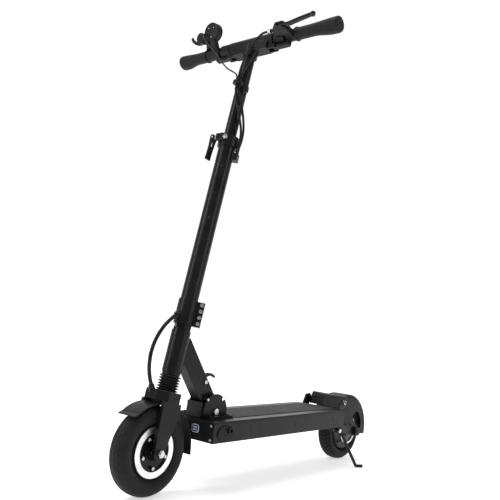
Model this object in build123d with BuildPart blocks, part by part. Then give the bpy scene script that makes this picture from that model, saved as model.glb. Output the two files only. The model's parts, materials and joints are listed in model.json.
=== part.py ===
from build123d import *
import os
from math import atan2, cos, degrees, hypot, pi, radians, sin, tan

os.makedirs("parts", exist_ok=True)

# Folding electric kick scooter, in millimetres. X points forward, Y to the rider's left, Z up.
# The origin is on the ground, at the middle of the scooter's overall box.

# ---- driving dimensions ----
WHEELBASE = 810.0
FRONT_TYRE_R = 100.0
FRONT_TYRE_W = 50.0
REAR_TYRE_R = 93.0
REAR_TYRE_W = 46.0
REAR_FENDER_R = 106.0
REAR_FENDER_W = 74.0
HEAD_ANGLE = 11.7
FORK_OFFSET = 11.5

DECK_GAP_REAR = 118.0
DECK_LENGTH = 576.5
DECK_WIDTH = 176.0
DECK_HEIGHT = 48.0
DECK_TOP_Z = 167.5
DECK_WALL = 4.0
DECK_CHAMFER = 4.2
END_PLATE_T = 3.0
GRIP_TAPE_W = 108.0
GRIP_TAPE_T = 1.2

HEAD_TUBE_R = 23.0
HEAD_TUBE_LOW = 180.0
HEAD_TUBE_TOP = 278.0
STEERER_R = 14.0
STANCHION_R = 10.0
CROWN_LOW = 112.0
CROWN_TOP = 135.0
SLEEVE_R = 24.5
SLEEVE_LOW = 293.4
SLEEVE_TOP = 353.0
OUTER_COLUMN_R = 21.4
OUTER_COLUMN_TOP = 777.0
INNER_COLUMN_R = 16.0
INNER_COLUMN_LOW = 520.0
BAR_HEIGHT = 1066.0
BAR_SETBACK = 6.0
BAR_HALF = 270.0
BAR_R = 11.0

PIVOT_FROM_AXLE = 629.0
PIVOT_Z = 181.0
PIVOT_BOLT_R = 5.0
CAM_R = 42.0
FOLD_ANGLE = 84.0
LOCK_R = 38.4
LOCK_ANGLE = 48.3
LOCK_TRAVEL = 9.0

RUN = 0.05
GAP = 0.3

# ---- places that follow from the driving dimensions ----
REAR_X = -(WHEELBASE + FRONT_TYRE_R + REAR_FENDER_R) / 2 + REAR_FENDER_R
FRONT_X = REAR_X + WHEELBASE
DECK_REAR = REAR_X + DECK_GAP_REAR
DECK_FRONT = DECK_REAR + DECK_LENGTH
DECK_LOW_Z = DECK_TOP_Z - DECK_HEIGHT
DECK_MID_Z = DECK_TOP_Z - DECK_HEIGHT / 2
HALF_DECK = DECK_WIDTH / 2
PIVOT_X = REAR_X + PIVOT_FROM_AXLE

HEAD = radians(HEAD_ANGLE)
FORWARD = (cos(HEAD), 0, sin(HEAD))
UPWARD = (-sin(HEAD), 0, cos(HEAD))
STEER = Plane(
    origin=(FRONT_X - FORK_OFFSET * cos(HEAD), 0, FRONT_TYRE_R - FORK_OFFSET * sin(HEAD)),
    x_dir=FORWARD,
    z_dir=UPWARD,
)
STEER_AXIS = Axis(STEER.origin, STEER.z_dir)
STEER_SIDE = Plane(origin=STEER.origin, x_dir=FORWARD, z_dir=(0, -1, 0))
FRONT_AXLE = Axis((FRONT_X, 0, FRONT_TYRE_R), (0, 1, 0))
REAR_AXLE = Axis((REAR_X, 0, REAR_TYRE_R), (0, 1, 0))


def side(y):
    """A plane at a distance y to the left, with X and Z as its axes; it faces right."""
    return Plane.XZ.offset(-y)


def steer_side(y):
    """The same, tilted with the steering axis: across it, then along it."""
    return STEER_SIDE.offset(-y)


def steer_at(s):
    """A plane across the steering axis, s above the axle's foot point."""
    return STEER.offset(s)


def axle_section(axis):
    """A plane through a wheel's axle: along the axle, then out from it."""
    return Plane(origin=axis.position, x_dir=(0, 1, 0), z_dir=(1, 0, 0))


def from_axle(x, z):
    """A point given from the rear axle's place on the ground."""
    return (REAR_X + x, z)


def rod(plane, radius, length, points=((0, 0),), mode=Mode.ADD):
    """Round bars or holes, standing on a plane at the points given."""
    with BuildSketch(plane) as outline:
        with Locations(*points):
            Circle(radius)
    extrude(outline.sketch, amount=length, mode=mode)


def ring(plane, outer, inner, length, points=((0, 0),)):
    """Round tubes standing on a plane at the points given."""
    with BuildSketch(plane) as outline:
        with Locations(*points):
            Circle(outer)
            Circle(inner, mode=Mode.SUBTRACT)
    extrude(outline.sketch, amount=length)


def hexes(plane, radius, length, points=((0, 0),)):
    """Hexagon nuts or heads standing on a plane at the points given."""
    with BuildSketch(plane) as outline:
        with Locations(*points):
            RegularPolygon(radius, 6)
    extrude(outline.sketch, amount=length)


def slab(plane, corners, length, mode=Mode.ADD):
    """A plate with straight edges, standing on a plane."""
    with BuildSketch(plane) as outline:
        with BuildLine():
            Polyline(*corners, close=True)
        make_face()
    extrude(outline.sketch, amount=length, mode=mode)


def save(piece, name):
    piece.part.label = name
    export_step(piece.part, f"parts/{name}.step")


# ==== deck ====
BOSS_R = 5.0
BOSS_INSET = 8.0
PLATE_SCREW_R = 2.0
boss_points = [
    (y, z)
    for y in (-HALF_DECK + BOSS_INSET, HALF_DECK - BOSS_INSET)
    for z in (DECK_LOW_Z + BOSS_INSET, DECK_TOP_Z - BOSS_INSET)
]
SIDE_SCREW_R = 3.0
SIDE_HEAD_R = 5.6
SIDE_HEAD_T = 1.6
SIDE_SINK = 2.0
side_screw_points = [from_axle(x, DECK_MID_Z + 2) for x in (184.0, 373.0, 561.0)]
extrusion_rear = DECK_REAR + END_PLATE_T
extrusion_length = DECK_LENGTH - 2 * END_PLATE_T


def deck_section():
    """The deck's outline across the scooter, with its top edges cut off at an angle."""
    with Locations((0, DECK_MID_Z)):
        outline = Rectangle(DECK_WIDTH, DECK_HEIGHT)
    chamfer(outline.vertices().group_by(Axis.Y)[-1], DECK_CHAMFER)


with BuildPart() as deck_shell:
    with BuildSketch(Plane.YZ.offset(extrusion_rear)) as shell_section:
        deck_section()
        with Locations((0, DECK_MID_Z)):
            Rectangle(DECK_WIDTH - 2 * DECK_WALL, DECK_HEIGHT - 2 * DECK_WALL, mode=Mode.SUBTRACT)
        with Locations(*boss_points):
            Circle(BOSS_R)
            Circle(PLATE_SCREW_R + GAP, mode=Mode.SUBTRACT)
    extrude(amount=extrusion_length)
    for flip in (1, -1):
        wall_out = max(flip * HALF_DECK, flip * (HALF_DECK - SIDE_SINK))
        rod(side(wall_out), SIDE_HEAD_R + GAP, SIDE_SINK, side_screw_points, Mode.SUBTRACT)
        wall_through = max(flip * HALF_DECK, flip * (HALF_DECK - DECK_WALL))
        rod(side(wall_through), SIDE_SCREW_R + GAP, DECK_WALL, side_screw_points, Mode.SUBTRACT)
save(deck_shell, "deck_shell")

with BuildPart() as deck_end_plates:
    for plate_x in (DECK_REAR, DECK_FRONT - END_PLATE_T):
        with BuildSketch(Plane.YZ.offset(plate_x)):
            deck_section()
            with Locations(*boss_points):
                Circle(PLATE_SCREW_R + GAP, mode=Mode.SUBTRACT)
        extrude(amount=END_PLATE_T)
save(deck_end_plates, "deck_end_plates")

# The grip tape lies between the hinge's base and the rear footrest.
TAPE_REAR = DECK_REAR + 6.0
HINGE_BASE_REAR = PIVOT_X - 45.0
TAPE_FRONT = HINGE_BASE_REAR - 4.0
with BuildPart() as grip_tape:
    with BuildSketch(Plane.XY.offset(DECK_TOP_Z)):
        with Locations(((TAPE_REAR + TAPE_FRONT) / 2, 0)):
            RectangleRounded(TAPE_FRONT - TAPE_REAR, GRIP_TAPE_W, 6.0)
    extrude(amount=GRIP_TAPE_T)
save(grip_tape, "grip_tape")

PACK_W = 140.0
PACK_H = 34.0
PACK_L = 380.0
INNER_FLOOR = DECK_LOW_Z + DECK_WALL
with BuildPart() as battery_pack:
    with BuildSketch(Plane.XY.offset(INNER_FLOOR)):
        with Locations((DECK_FRONT - 75.0 - PACK_L / 2, 0)):
            RectangleRounded(PACK_L, PACK_W, 6.0)
    extrude(amount=PACK_H)
    fillet(battery_pack.edges().group_by(Axis.Z)[-1], 3.0)
save(battery_pack, "battery_pack")

with BuildPart() as motor_controller:
    with BuildSketch(Plane.XY.offset(INNER_FLOOR)):
        with Locations((extrusion_rear + 60.0, 0)):
            Rectangle(90.0, 96.0)
    extrude(amount=22.0)
    with BuildSketch(Plane.XY.offset(INNER_FLOOR + 22.0)):
        with Locations((extrusion_rear + 60.0, 0)):
            with GridLocations(0, 16.0, 1, 6):
                Rectangle(90.0, 4.0)
    extrude(amount=8.0)
save(motor_controller, "motor_controller")

# ---- charging inlet, low on the left near the front ----
PORT_X = REAR_X + 652.0
PORT_Z = 141.0
INLET_X = REAR_X + 640.0
INLET_Z = 147.0
INLET_BORE_R = 5.0
INLET_DEPTH = 7.0
with BuildPart() as charge_port_cover:
    with BuildSketch(side(HALF_DECK + 3.0)):
        with Locations((PORT_X, PORT_Z)):
            Ellipse(29.0, 19.5)
        with Locations((INLET_X, INLET_Z)):
            Circle(8.0 + GAP, mode=Mode.SUBTRACT)
    extrude(amount=3.0)
    fillet(charge_port_cover.edges().group_by(Axis.Y)[-1].sort_by(SortBy.LENGTH)[-1], 1.5)
save(charge_port_cover, "charge_port_cover")

with BuildPart() as charge_inlet:
    rod(side(HALF_DECK + 8.0), 8.0, 8.0, [(INLET_X, INLET_Z)])
    rod(side(HALF_DECK + 8.0), INLET_BORE_R, INLET_DEPTH, [(INLET_X, INLET_Z)], Mode.SUBTRACT)
save(charge_inlet, "charge_inlet")

# ==== folding hinge on the deck ====
BASE_T = 2.5
BASE_TOP = DECK_TOP_Z + BASE_T
CAM_IN = 25.0
CAM_T = 4.0
CAM_OUT = CAM_IN + CAM_T
FOOT_T = 3.0
FOOT_OUT = 50.0
BASE_FRONT = PIVOT_X + 51.0
WALL_X = PIVOT_X + 42.0
WALL_T = 3.0
WALL_TOP = PIVOT_Z + 23.0
PIVOT = (PIVOT_X, PIVOT_Z)
base_screw_points = [
    (PIVOT_X + x, y) for x in (-34.0, 32.0) for y in (-FOOT_OUT + 8.5, FOOT_OUT - 8.5)
]

with BuildPart() as hinge_bracket:
    with BuildSketch(Plane.XY.offset(DECK_TOP_Z)):
        with Locations(((HINGE_BASE_REAR + BASE_FRONT) / 2, 0)):
            RectangleRounded(BASE_FRONT - HINGE_BASE_REAR, 2 * FOOT_OUT + 10.0, 6.0)
    extrude(amount=BASE_T)
    slab(
        side(CAM_IN - GAP),
        [(WALL_X, BASE_TOP), (WALL_X, WALL_TOP), (WALL_X + WALL_T, WALL_TOP), (WALL_X + WALL_T, BASE_TOP)],
        2 * (CAM_IN - GAP),
    )
    slab(
        side(CAM_IN - GAP),
        [
            (WALL_X + WALL_T, BASE_TOP),
            (WALL_X + WALL_T, BASE_TOP + 5),
            (WALL_X + WALL_T + 5, BASE_TOP),
        ],
        2 * (CAM_IN - GAP),
    )
save(hinge_bracket, "hinge_bracket")


def lock_point(angle, reach):
    """A point at an angle and a reach from the fold pivot, seen from the left."""
    return (PIVOT_X + reach * cos(radians(angle)), PIVOT_Z + reach * sin(radians(angle)))


RELIEF_IN = LOCK_R - 4.6
RELIEF_T = 2.6
LOCK_PIN_R = 3.8
LOCK_PIN_END = CAM_IN + RELIEF_T - GAP
REAR_NOTCH_ANGLE = LOCK_ANGLE + FOLD_ANGLE


def cam_plate(flip):
    """A cam plate with its foot, its two lock notches and the inner groove that the pin sweeps."""
    outer_y = max(flip * CAM_IN, flip * CAM_OUT)
    with BuildSketch(side(outer_y)) as profile:
        with Locations(PIVOT):
            Circle(CAM_R)
        with BuildLine():
            Polyline(
                (PIVOT_X - 43, BASE_TOP),
                (PIVOT_X + 41.5, BASE_TOP),
                (PIVOT_X + 41.5, PIVOT_Z + 2),
                (PIVOT_X, PIVOT_Z + 22),
                (PIVOT_X - 41.5, PIVOT_Z + 2),
                close=True,
            )
        make_face()
        with Locations((PIVOT_X, BASE_TOP - CAM_R)):
            Rectangle(4 * CAM_R, 2 * CAM_R, mode=Mode.SUBTRACT)
        with Locations(PIVOT):
            Circle(PIVOT_BOLT_R + 2 * RUN, mode=Mode.SUBTRACT)
        for angle in (LOCK_ANGLE, REAR_NOTCH_ANGLE):
            with Locations(lock_point(angle, LOCK_R + 6)):
                SlotOverall(20.0, 2 * LOCK_PIN_R + 0.8, rotation=angle, mode=Mode.SUBTRACT)
    extrude(profile.sketch, amount=CAM_T)
    groove_y = max(flip * CAM_IN, flip * (CAM_IN + RELIEF_T))
    margin = 8.0
    with BuildSketch(side(groove_y)) as groove:
        with BuildLine():
            low = CenterArc(PIVOT, RELIEF_IN, LOCK_ANGLE - margin, FOLD_ANGLE + 2 * margin)
            high = CenterArc(PIVOT, CAM_R + 5, LOCK_ANGLE - margin, FOLD_ANGLE + 2 * margin)
            Line(low @ 0, high @ 0)
            Line(low @ 1, high @ 1)
        make_face()
    extrude(groove.sketch, amount=RELIEF_T, mode=Mode.SUBTRACT)
    foot_points = [(x, y) for x, y in base_screw_points if y * flip > 0]
    with BuildSketch(Plane.XY.offset(BASE_TOP)) as foot:
        with Locations((PIVOT_X - 0.75, flip * (CAM_IN + FOOT_OUT) / 2)):
            Rectangle(84.5, FOOT_OUT - CAM_IN)
        with Locations(*foot_points):
            Circle(2.8, mode=Mode.SUBTRACT)
    extrude(foot.sketch, amount=FOOT_T)


with BuildPart() as cam_plates:
    cam_plate(1)
    cam_plate(-1)
save(cam_plates, "cam_plates")

# ==== rear of the deck: brackets, fender, footrest ====
ARM_PIVOT = from_axle(109.5, 107.5)
ARM_PIVOT_R = 4.0
REAR_AXLE_POINT = from_axle(0, REAR_TYRE_R)
FOOTREST_BOLT = from_axle(90.0, 185.0)
BRACKET_IN = 61.0
BRACKET_T = 6.0
BRACKET_OUT = BRACKET_IN + BRACKET_T


def rear_bracket(flip):
    """A side plate behind the deck that holds the swing arm's pivot and the footrest."""
    outer_y = max(flip * BRACKET_IN, flip * BRACKET_OUT)
    with BuildSketch(side(outer_y)) as profile:
        with Locations(ARM_PIVOT):
            Circle(9.5)
        with BuildLine():
            Polyline(
                from_axle(DECK_GAP_REAR, 121),
                from_axle(DECK_GAP_REAR, 163),
                from_axle(103, 194),
                from_axle(82, 196),
                from_axle(78, 180),
                from_axle(100.5, 140),
                from_axle(100, 107),
                from_axle(113, 107),
                close=True,
            )
        make_face()
        with Locations(ARM_PIVOT):
            Circle(ARM_PIVOT_R + 2 * RUN, mode=Mode.SUBTRACT)
        with Locations(FOOTREST_BOLT):
            Circle(4.0 + 2 * RUN, mode=Mode.SUBTRACT)
    extrude(profile.sketch, amount=BRACKET_T)


with BuildPart() as rear_brackets:
    rear_bracket(1)
    rear_bracket(-1)
save(rear_brackets, "rear_brackets")

FOOTREST_HALF = 60.7
footrest_rear = 62.0
with BuildPart() as rear_footrest:
    with BuildSketch(Plane.XY.offset(DECK_TOP_Z + 0.5)) as low:
        with BuildLine():
            Polyline(
                (REAR_X + footrest_rear, -FOOTREST_HALF),
                (REAR_X + footrest_rear, FOOTREST_HALF),
                (REAR_X + 105, FOOTREST_HALF),
                (REAR_X + 108, 2),
                (REAR_X + 93, -FOOTREST_HALF),
                close=True,
            )
        make_face()
    with BuildSketch(Plane.XY.offset(202.0)) as high:
        with BuildLine():
            Polyline(
                (REAR_X + footrest_rear, -FOOTREST_HALF),
                (REAR_X + footrest_rear, FOOTREST_HALF),
                (REAR_X + 84, FOOTREST_HALF),
                (REAR_X + 97, 2),
                (REAR_X + 71, -FOOTREST_HALF),
                close=True,
            )
        make_face()
    loft(ruled=True)
    # The inside is open at the back and below, over the fender and the wheel.
    slab(
        side(FOOTREST_HALF - 3),
        [from_axle(40, 150), from_axle(40, 199), from_axle(68, 199), from_axle(89, 150)],
        2 * (FOOTREST_HALF - 3),
        Mode.SUBTRACT,
    )
    rod(side(FOOTREST_HALF), 4.0 + 2 * RUN, 2 * FOOTREST_HALF, [FOOTREST_BOLT], Mode.SUBTRACT)
save(rear_footrest, "rear_footrest")

FENDER_T = 2.5
AXLE_NOTCH_R = 20.0
FENDER_CENTRE = from_axle(0, REAR_TYRE_R + 2)
half_fender = REAR_FENDER_W / 2
fender_outline = [
    from_axle(200, 148),
    from_axle(DECK_GAP_REAR, 126),
    from_axle(39, 111),
    from_axle(8, 101),
    from_axle(-34, 93),
    from_axle(-70, 76),
    from_axle(-200, 70),
    from_axle(-200, 260),
    from_axle(200, 260),
]
with BuildPart() as rear_fender:
    with BuildSketch(side(half_fender)) as full:
        with Locations(FENDER_CENTRE):
            Circle(REAR_FENDER_R)
        slab_top = 152.0
        with BuildLine():
            Polyline(
                from_axle(80, 110),
                from_axle(DECK_GAP_REAR, 110),
                from_axle(DECK_GAP_REAR, slab_top),
                from_axle(80, slab_top + 12),
                close=True,
            )
        make_face()
        with BuildLine():
            Polyline(*fender_outline, close=True)
        make_face(mode=Mode.INTERSECT)
    extrude(amount=REAR_FENDER_W)
    fillet(
        rear_fender.edges().filter_by(GeomType.CIRCLE).filter_by(lambda e: e.radius > REAR_FENDER_R - 1),
        10.0,
    )
    with BuildSketch(side(half_fender - FENDER_T)):
        with Locations(FENDER_CENTRE):
            Circle(REAR_FENDER_R - FENDER_T)
        with BuildLine():
            Polyline(
                from_axle(40, 60),
                from_axle(DECK_GAP_REAR - 3, 60),
                from_axle(DECK_GAP_REAR - 3, slab_top - FENDER_T),
                from_axle(80, slab_top + 12 - FENDER_T),
                from_axle(40, 160),
                close=True,
            )
        make_face()
    extrude(amount=REAR_FENDER_W - 2 * FENDER_T, mode=Mode.SUBTRACT)
    rod(side(half_fender), AXLE_NOTCH_R, REAR_FENDER_W, [from_axle(0, REAR_TYRE_R)], Mode.SUBTRACT)
    with BuildSketch(side(half_fender + 1)):
        with BuildLine():
            Spline(
                from_axle(-38, 146),
                from_axle(-20, 132),
                from_axle(-46, 104),
                from_axle(-66, 90),
                from_axle(-72, 114),
                from_axle(-58, 138),
                periodic=True,
            )
        make_face()
    extrude(amount=REAR_FENDER_W + 2, mode=Mode.SUBTRACT)
save(rear_fender, "rear_fender")

# ==== rear wheel on its swing arm ====
ARM_IN = 50.0
ARM_T = 10.0
ARM_OUT = ARM_IN + ARM_T
REAR_SHAFT_R = 6.0
ARM_TUBE_R = 8.0
BOSS_END_R = 15.0
with BuildPart() as swing_arm:
    for flip in (1, -1):
        outer_y = max(flip * ARM_IN, flip * ARM_OUT)
        rod(side(outer_y), BOSS_END_R, ARM_T, [REAR_AXLE_POINT])
        rod(side(outer_y), ARM_TUBE_R, ARM_T, [ARM_PIVOT])
        slab(
            side(outer_y),
            [
                from_axle(109, 99.6),
                from_axle(109, 115.4),
                from_axle(60, 114),
                from_axle(4, 107.4),
                from_axle(-3, 78.4),
                from_axle(50, 88),
            ],
            ARM_T,
        )
    rod(side(ARM_OUT), ARM_TUBE_R, 2 * ARM_OUT, [ARM_PIVOT])
    rod(side(ARM_OUT), ARM_PIVOT_R + RUN, 2 * ARM_OUT, [ARM_PIVOT], Mode.SUBTRACT)
    rod(side(ARM_OUT), REAR_SHAFT_R + 2 * RUN, 2 * ARM_OUT, [REAR_AXLE_POINT], Mode.SUBTRACT)
save(swing_arm, "swing_arm")

MOTOR_BOSS_OUT = 34.0
with BuildPart() as rear_axle:
    rod(side(ARM_OUT + 12), REAR_SHAFT_R, 2 * (ARM_OUT + 12), [REAR_AXLE_POINT])
    rod(side(ARM_IN), 9.0, ARM_IN - MOTOR_BOSS_OUT - GAP, [REAR_AXLE_POINT])
    rod(side(-MOTOR_BOSS_OUT - GAP), 9.0, ARM_IN - MOTOR_BOSS_OUT - GAP, [REAR_AXLE_POINT])
    for flip in (1, -1):
        outer_y = max(flip * ARM_OUT, flip * (ARM_OUT + 10))
        with BuildSketch(side(outer_y)) as nut:
            with Locations(REAR_AXLE_POINT):
                Circle(13.0)
                Circle(REAR_SHAFT_R + 2 * RUN, mode=Mode.SUBTRACT)
        extrude(nut.sketch, amount=10.0)
save(rear_axle, "rear_axle")

REAR_HUB_R = 62.0
HUB_HALF = 21.0
with BuildPart() as rear_tyre:
    with BuildSketch(axle_section(REAR_AXLE)):
        with BuildLine():
            half = REAR_TYRE_W / 2
            Polyline(
                (-9, REAR_TYRE_R),
                (9, REAR_TYRE_R),
                (half - 3, REAR_TYRE_R - 5),
                (half, REAR_TYRE_R - 14),
                (half - 1, REAR_HUB_R + 4),
                (half - 4, REAR_HUB_R + 0.1),
                (4 - half, REAR_HUB_R + 0.1),
                (1 - half, REAR_HUB_R + 4),
                (-half, REAR_TYRE_R - 14),
                (3 - half, REAR_TYRE_R - 5),
                close=True,
            )
        make_face()
    revolve(axis=REAR_AXLE)
save(rear_tyre, "rear_tyre")

with BuildPart() as hub_motor:
    with BuildSketch(axle_section(REAR_AXLE)):
        with BuildLine():
            Polyline(
                (-MOTOR_BOSS_OUT, REAR_SHAFT_R + RUN),
                (MOTOR_BOSS_OUT, REAR_SHAFT_R + RUN),
                (MOTOR_BOSS_OUT, 17),
                (HUB_HALF + 4, 22),
                (HUB_HALF, 42),
                (HUB_HALF, 58),
                (HUB_HALF - 4, REAR_HUB_R),
                (4 - HUB_HALF, REAR_HUB_R),
                (-HUB_HALF, 58),
                (-HUB_HALF, 42),
                (-HUB_HALF - 4, 22),
                (-MOTOR_BOSS_OUT, 17),
                close=True,
            )
        make_face()
    revolve(axis=REAR_AXLE)
    for flip in (1, -1):
        outer_y = max(flip * HUB_HALF, flip * (HUB_HALF + 3))
        with BuildSketch(side(outer_y)) as heads:
            with Locations(REAR_AXLE_POINT):
                with PolarLocations(50.0, 6, start_angle=12):
                    Circle(3.8)
        extrude(heads.sketch, amount=3.0)
save(hub_motor, "hub_motor")

# ==== kickstand under the deck's left rear corner ====
STAND_PIVOT = from_axle(137.0, 108.0)
STAND_BOLT_R = 4.0
STAND_EYE_IN = 77.0
STAND_EYE_OUT = 85.0
STAND_R = 4.5
with BuildPart() as kickstand_bracket:
    with BuildSketch(Plane.XY.offset(DECK_LOW_Z - 4)):
        with Locations((REAR_X + 135.0, STAND_EYE_IN - GAP - 12.0)):
            RectangleRounded(26.0, 24.0, 3.0)
    extrude(amount=4.0)
    slab(
        side(STAND_EYE_IN - GAP),
        [from_axle(128, DECK_LOW_Z - 4), from_axle(146, DECK_LOW_Z - 4), from_axle(145, 108), from_axle(129, 108)],
        5.0,
    )
    rod(side(STAND_EYE_IN - GAP), 8.0, 5.0, [STAND_PIVOT])
    rod(side(STAND_EYE_IN), STAND_BOLT_R + 2 * RUN, 12.0, [STAND_PIVOT], Mode.SUBTRACT)
save(kickstand_bracket, "kickstand_bracket")

PIVOT_NUT_T = 5.0
with BuildPart() as pivot_bolts:
    # The folding hinge's bolt.
    rod(side(CAM_OUT), PIVOT_BOLT_R, 2 * CAM_OUT, [PIVOT])
    rod(side(CAM_OUT + PIVOT_NUT_T), 7.5, PIVOT_NUT_T, [PIVOT])
    hexes(side(-CAM_OUT), 7.5, PIVOT_NUT_T, [PIVOT])
    # The swing arm's bolt.
    rod(side(BRACKET_OUT), ARM_PIVOT_R, 2 * BRACKET_OUT, [ARM_PIVOT])
    hexes(side(BRACKET_OUT + PIVOT_NUT_T), 7.0, PIVOT_NUT_T, [ARM_PIVOT])
    hexes(side(-BRACKET_OUT), 7.0, PIVOT_NUT_T, [ARM_PIVOT])
    # The kickstand's bolt.
    rod(side(STAND_EYE_OUT + GAP), STAND_BOLT_R, STAND_EYE_OUT + GAP - 68.0, [STAND_PIVOT])
    hexes(side(STAND_EYE_OUT + GAP + 4), 6.5, 4.0, [STAND_PIVOT])
save(pivot_bolts, "pivot_bolts")

SIDE_SCREW_L = 9.0
PLATE_HEAD_R = 3.6
PLATE_HEAD_T = 1.6
PLATE_SCREW_L = 16.0
with BuildPart() as deck_screws:
    for flip in (1, -1):
        seat = flip * (HALF_DECK - SIDE_SINK)
        rod(side(max(seat, seat + flip * SIDE_HEAD_T)), SIDE_HEAD_R, SIDE_HEAD_T, side_screw_points)
        rod(side(max(seat, seat - flip * SIDE_SCREW_L)), SIDE_SCREW_R, SIDE_SCREW_L, side_screw_points)
        head = flip * BRACKET_OUT
        rod(side(max(head, head + flip * 4.5)), 8.5, 4.5, [FOOTREST_BOLT])
        rod(side(max(head, head - flip * 9.0)), 4.0, 9.0, [FOOTREST_BOLT])
    rod(Plane.YZ.offset(DECK_FRONT), PLATE_HEAD_R, PLATE_HEAD_T, boss_points)
    rod(Plane.YZ.offset(DECK_FRONT - PLATE_SCREW_L), PLATE_SCREW_R, PLATE_SCREW_L, boss_points)
    rod(Plane.YZ.offset(DECK_REAR - PLATE_HEAD_T), PLATE_HEAD_R, PLATE_HEAD_T, boss_points)
    rod(Plane.YZ.offset(DECK_REAR), PLATE_SCREW_R, PLATE_SCREW_L, boss_points)
    rod(Plane.XY.offset(BASE_TOP + FOOT_T), 4.6, 2.6, base_screw_points)
    rod(Plane.XY.offset(BASE_TOP), 2.5, FOOT_T, base_screw_points)
save(deck_screws, "deck_screws")

with BuildPart() as kickstand_leg:
    with BuildLine():
        Polyline(
            (REAR_X + 136, 83, 106),
            (REAR_X + 127, 91, 95),
            (REAR_X + 66, 108, STAND_R),
            (REAR_X + 50, 121, STAND_R),
        )
    with BuildSketch(Plane(origin=(REAR_X + 136, 83, 106), z_dir=(-9, 8, -11))):
        Circle(STAND_R)
    sweep(transition=Transition.ROUND)
    rod(side(STAND_EYE_OUT), 8.0, STAND_EYE_OUT - STAND_EYE_IN, [STAND_PIVOT])
    rod(side(STAND_EYE_OUT + 12), STAND_BOLT_R + RUN, 24.0, [STAND_PIVOT], Mode.SUBTRACT)
    rod(side(STAND_EYE_OUT + 12), 7.6, 12.0 - GAP / 3, [STAND_PIVOT], Mode.SUBTRACT)
save(kickstand_leg, "kickstand_leg")

# ==== neck: the box tube and the head tube, one weldment that folds on the deck ====
NECK_HALF = 14.0
NECK_WALL = 2.5
KNUCKLE_R = 9.6
TRIGGER_POINT = (PIVOT_X + 28.0, 251.0)
TRIGGER_PIN_R = 3.0
BEARING_R = 19.0
BEARING_H = 9.0
HEAD_BORE_R = 16.0
neck_low_rear = (PIVOT_X - 7, PIVOT_Z + 41)
neck_low_front = (PIVOT_X + 47, PIVOT_Z + 32)
neck_top_rear = (PIVOT_X + 92, PIVOT_Z + 173)
neck_top_front = (PIVOT_X + 110, PIVOT_Z + 116)
head_inside = (PIVOT_X + 128, PIVOT_Z + 150)
slot_middle = lock_point(LOCK_ANGLE, LOCK_R + LOCK_TRAVEL / 2)
with BuildPart() as neck_frame:
    slab(
        side(NECK_HALF),
        [neck_low_rear, neck_low_front, neck_top_front, head_inside, neck_top_rear],
        2 * NECK_HALF,
    )
    fillet(neck_frame.edges().filter_by(lambda e: e.length > 150), 3.0)
    slab(
        side(NECK_HALF - NECK_WALL),
        [
            (PIVOT_X + 10, PIVOT_Z + 60),
            (PIVOT_X + 48, PIVOT_Z + 53),
            (PIVOT_X + 102, PIVOT_Z + 124),
            (PIVOT_X + 88, PIVOT_Z + 158),
        ],
        2 * (NECK_HALF - NECK_WALL),
        Mode.SUBTRACT,
    )
    slab(
        side(NECK_HALF),
        [
            neck_low_rear,
            (PIVOT_X - KNUCKLE_R + 1, PIVOT_Z - 2),
            (PIVOT_X + 8.5, PIVOT_Z - 3.5),
            neck_low_front,
        ],
        2 * NECK_HALF,
    )
    rod(side(CAM_IN - GAP), KNUCKLE_R, 2 * (CAM_IN - GAP), [PIVOT])
    rod(steer_at(HEAD_TUBE_LOW), HEAD_TUBE_R, HEAD_TUBE_TOP - HEAD_TUBE_LOW)
    rod(steer_at(HEAD_TUBE_LOW), HEAD_BORE_R, HEAD_TUBE_TOP - HEAD_TUBE_LOW, mode=Mode.SUBTRACT)
    rod(steer_at(HEAD_TUBE_LOW), BEARING_R + RUN, BEARING_H, mode=Mode.SUBTRACT)
    rod(steer_at(HEAD_TUBE_TOP - BEARING_H), BEARING_R + RUN, BEARING_H, mode=Mode.SUBTRACT)
    rod(side(CAM_IN), PIVOT_BOLT_R + RUN, 2 * CAM_IN, [PIVOT], Mode.SUBTRACT)
    rod(side(NECK_HALF), TRIGGER_PIN_R + RUN, 2 * NECK_HALF, [TRIGGER_POINT], Mode.SUBTRACT)
    # The lock pin's slots, the slide's groove and the trigger's window at the back.
    with BuildSketch(side(NECK_HALF)):
        with Locations(slot_middle):
            SlotCenterToCenter(LOCK_TRAVEL, 2 * LOCK_PIN_R + 0.8, rotation=LOCK_ANGLE)
    extrude(amount=2 * NECK_HALF, mode=Mode.SUBTRACT)
    with BuildSketch(side(4.6)):
        with Locations(lock_point(LOCK_ANGLE, LOCK_R + 14)):
            Rectangle(42.0, 12.6, rotation=LOCK_ANGLE)
    extrude(amount=9.2, mode=Mode.SUBTRACT)
    slab(
        side(4.6),
        [
            (PIVOT_X + 8, PIVOT_Z + 66),
            (PIVOT_X + 40, PIVOT_Z + 58),
            (PIVOT_X + 56, PIVOT_Z + 88),
            (PIVOT_X + 24, PIVOT_Z + 110),
        ],
        9.2,
        Mode.SUBTRACT,
    )
save(neck_frame, "neck_frame")

with BuildPart() as headset_bearings:
    for low in (HEAD_TUBE_LOW, HEAD_TUBE_TOP - BEARING_H):
        ring(steer_at(low), BEARING_R, STEERER_R + RUN, BEARING_H)
save(headset_bearings, "headset_bearings")

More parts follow.
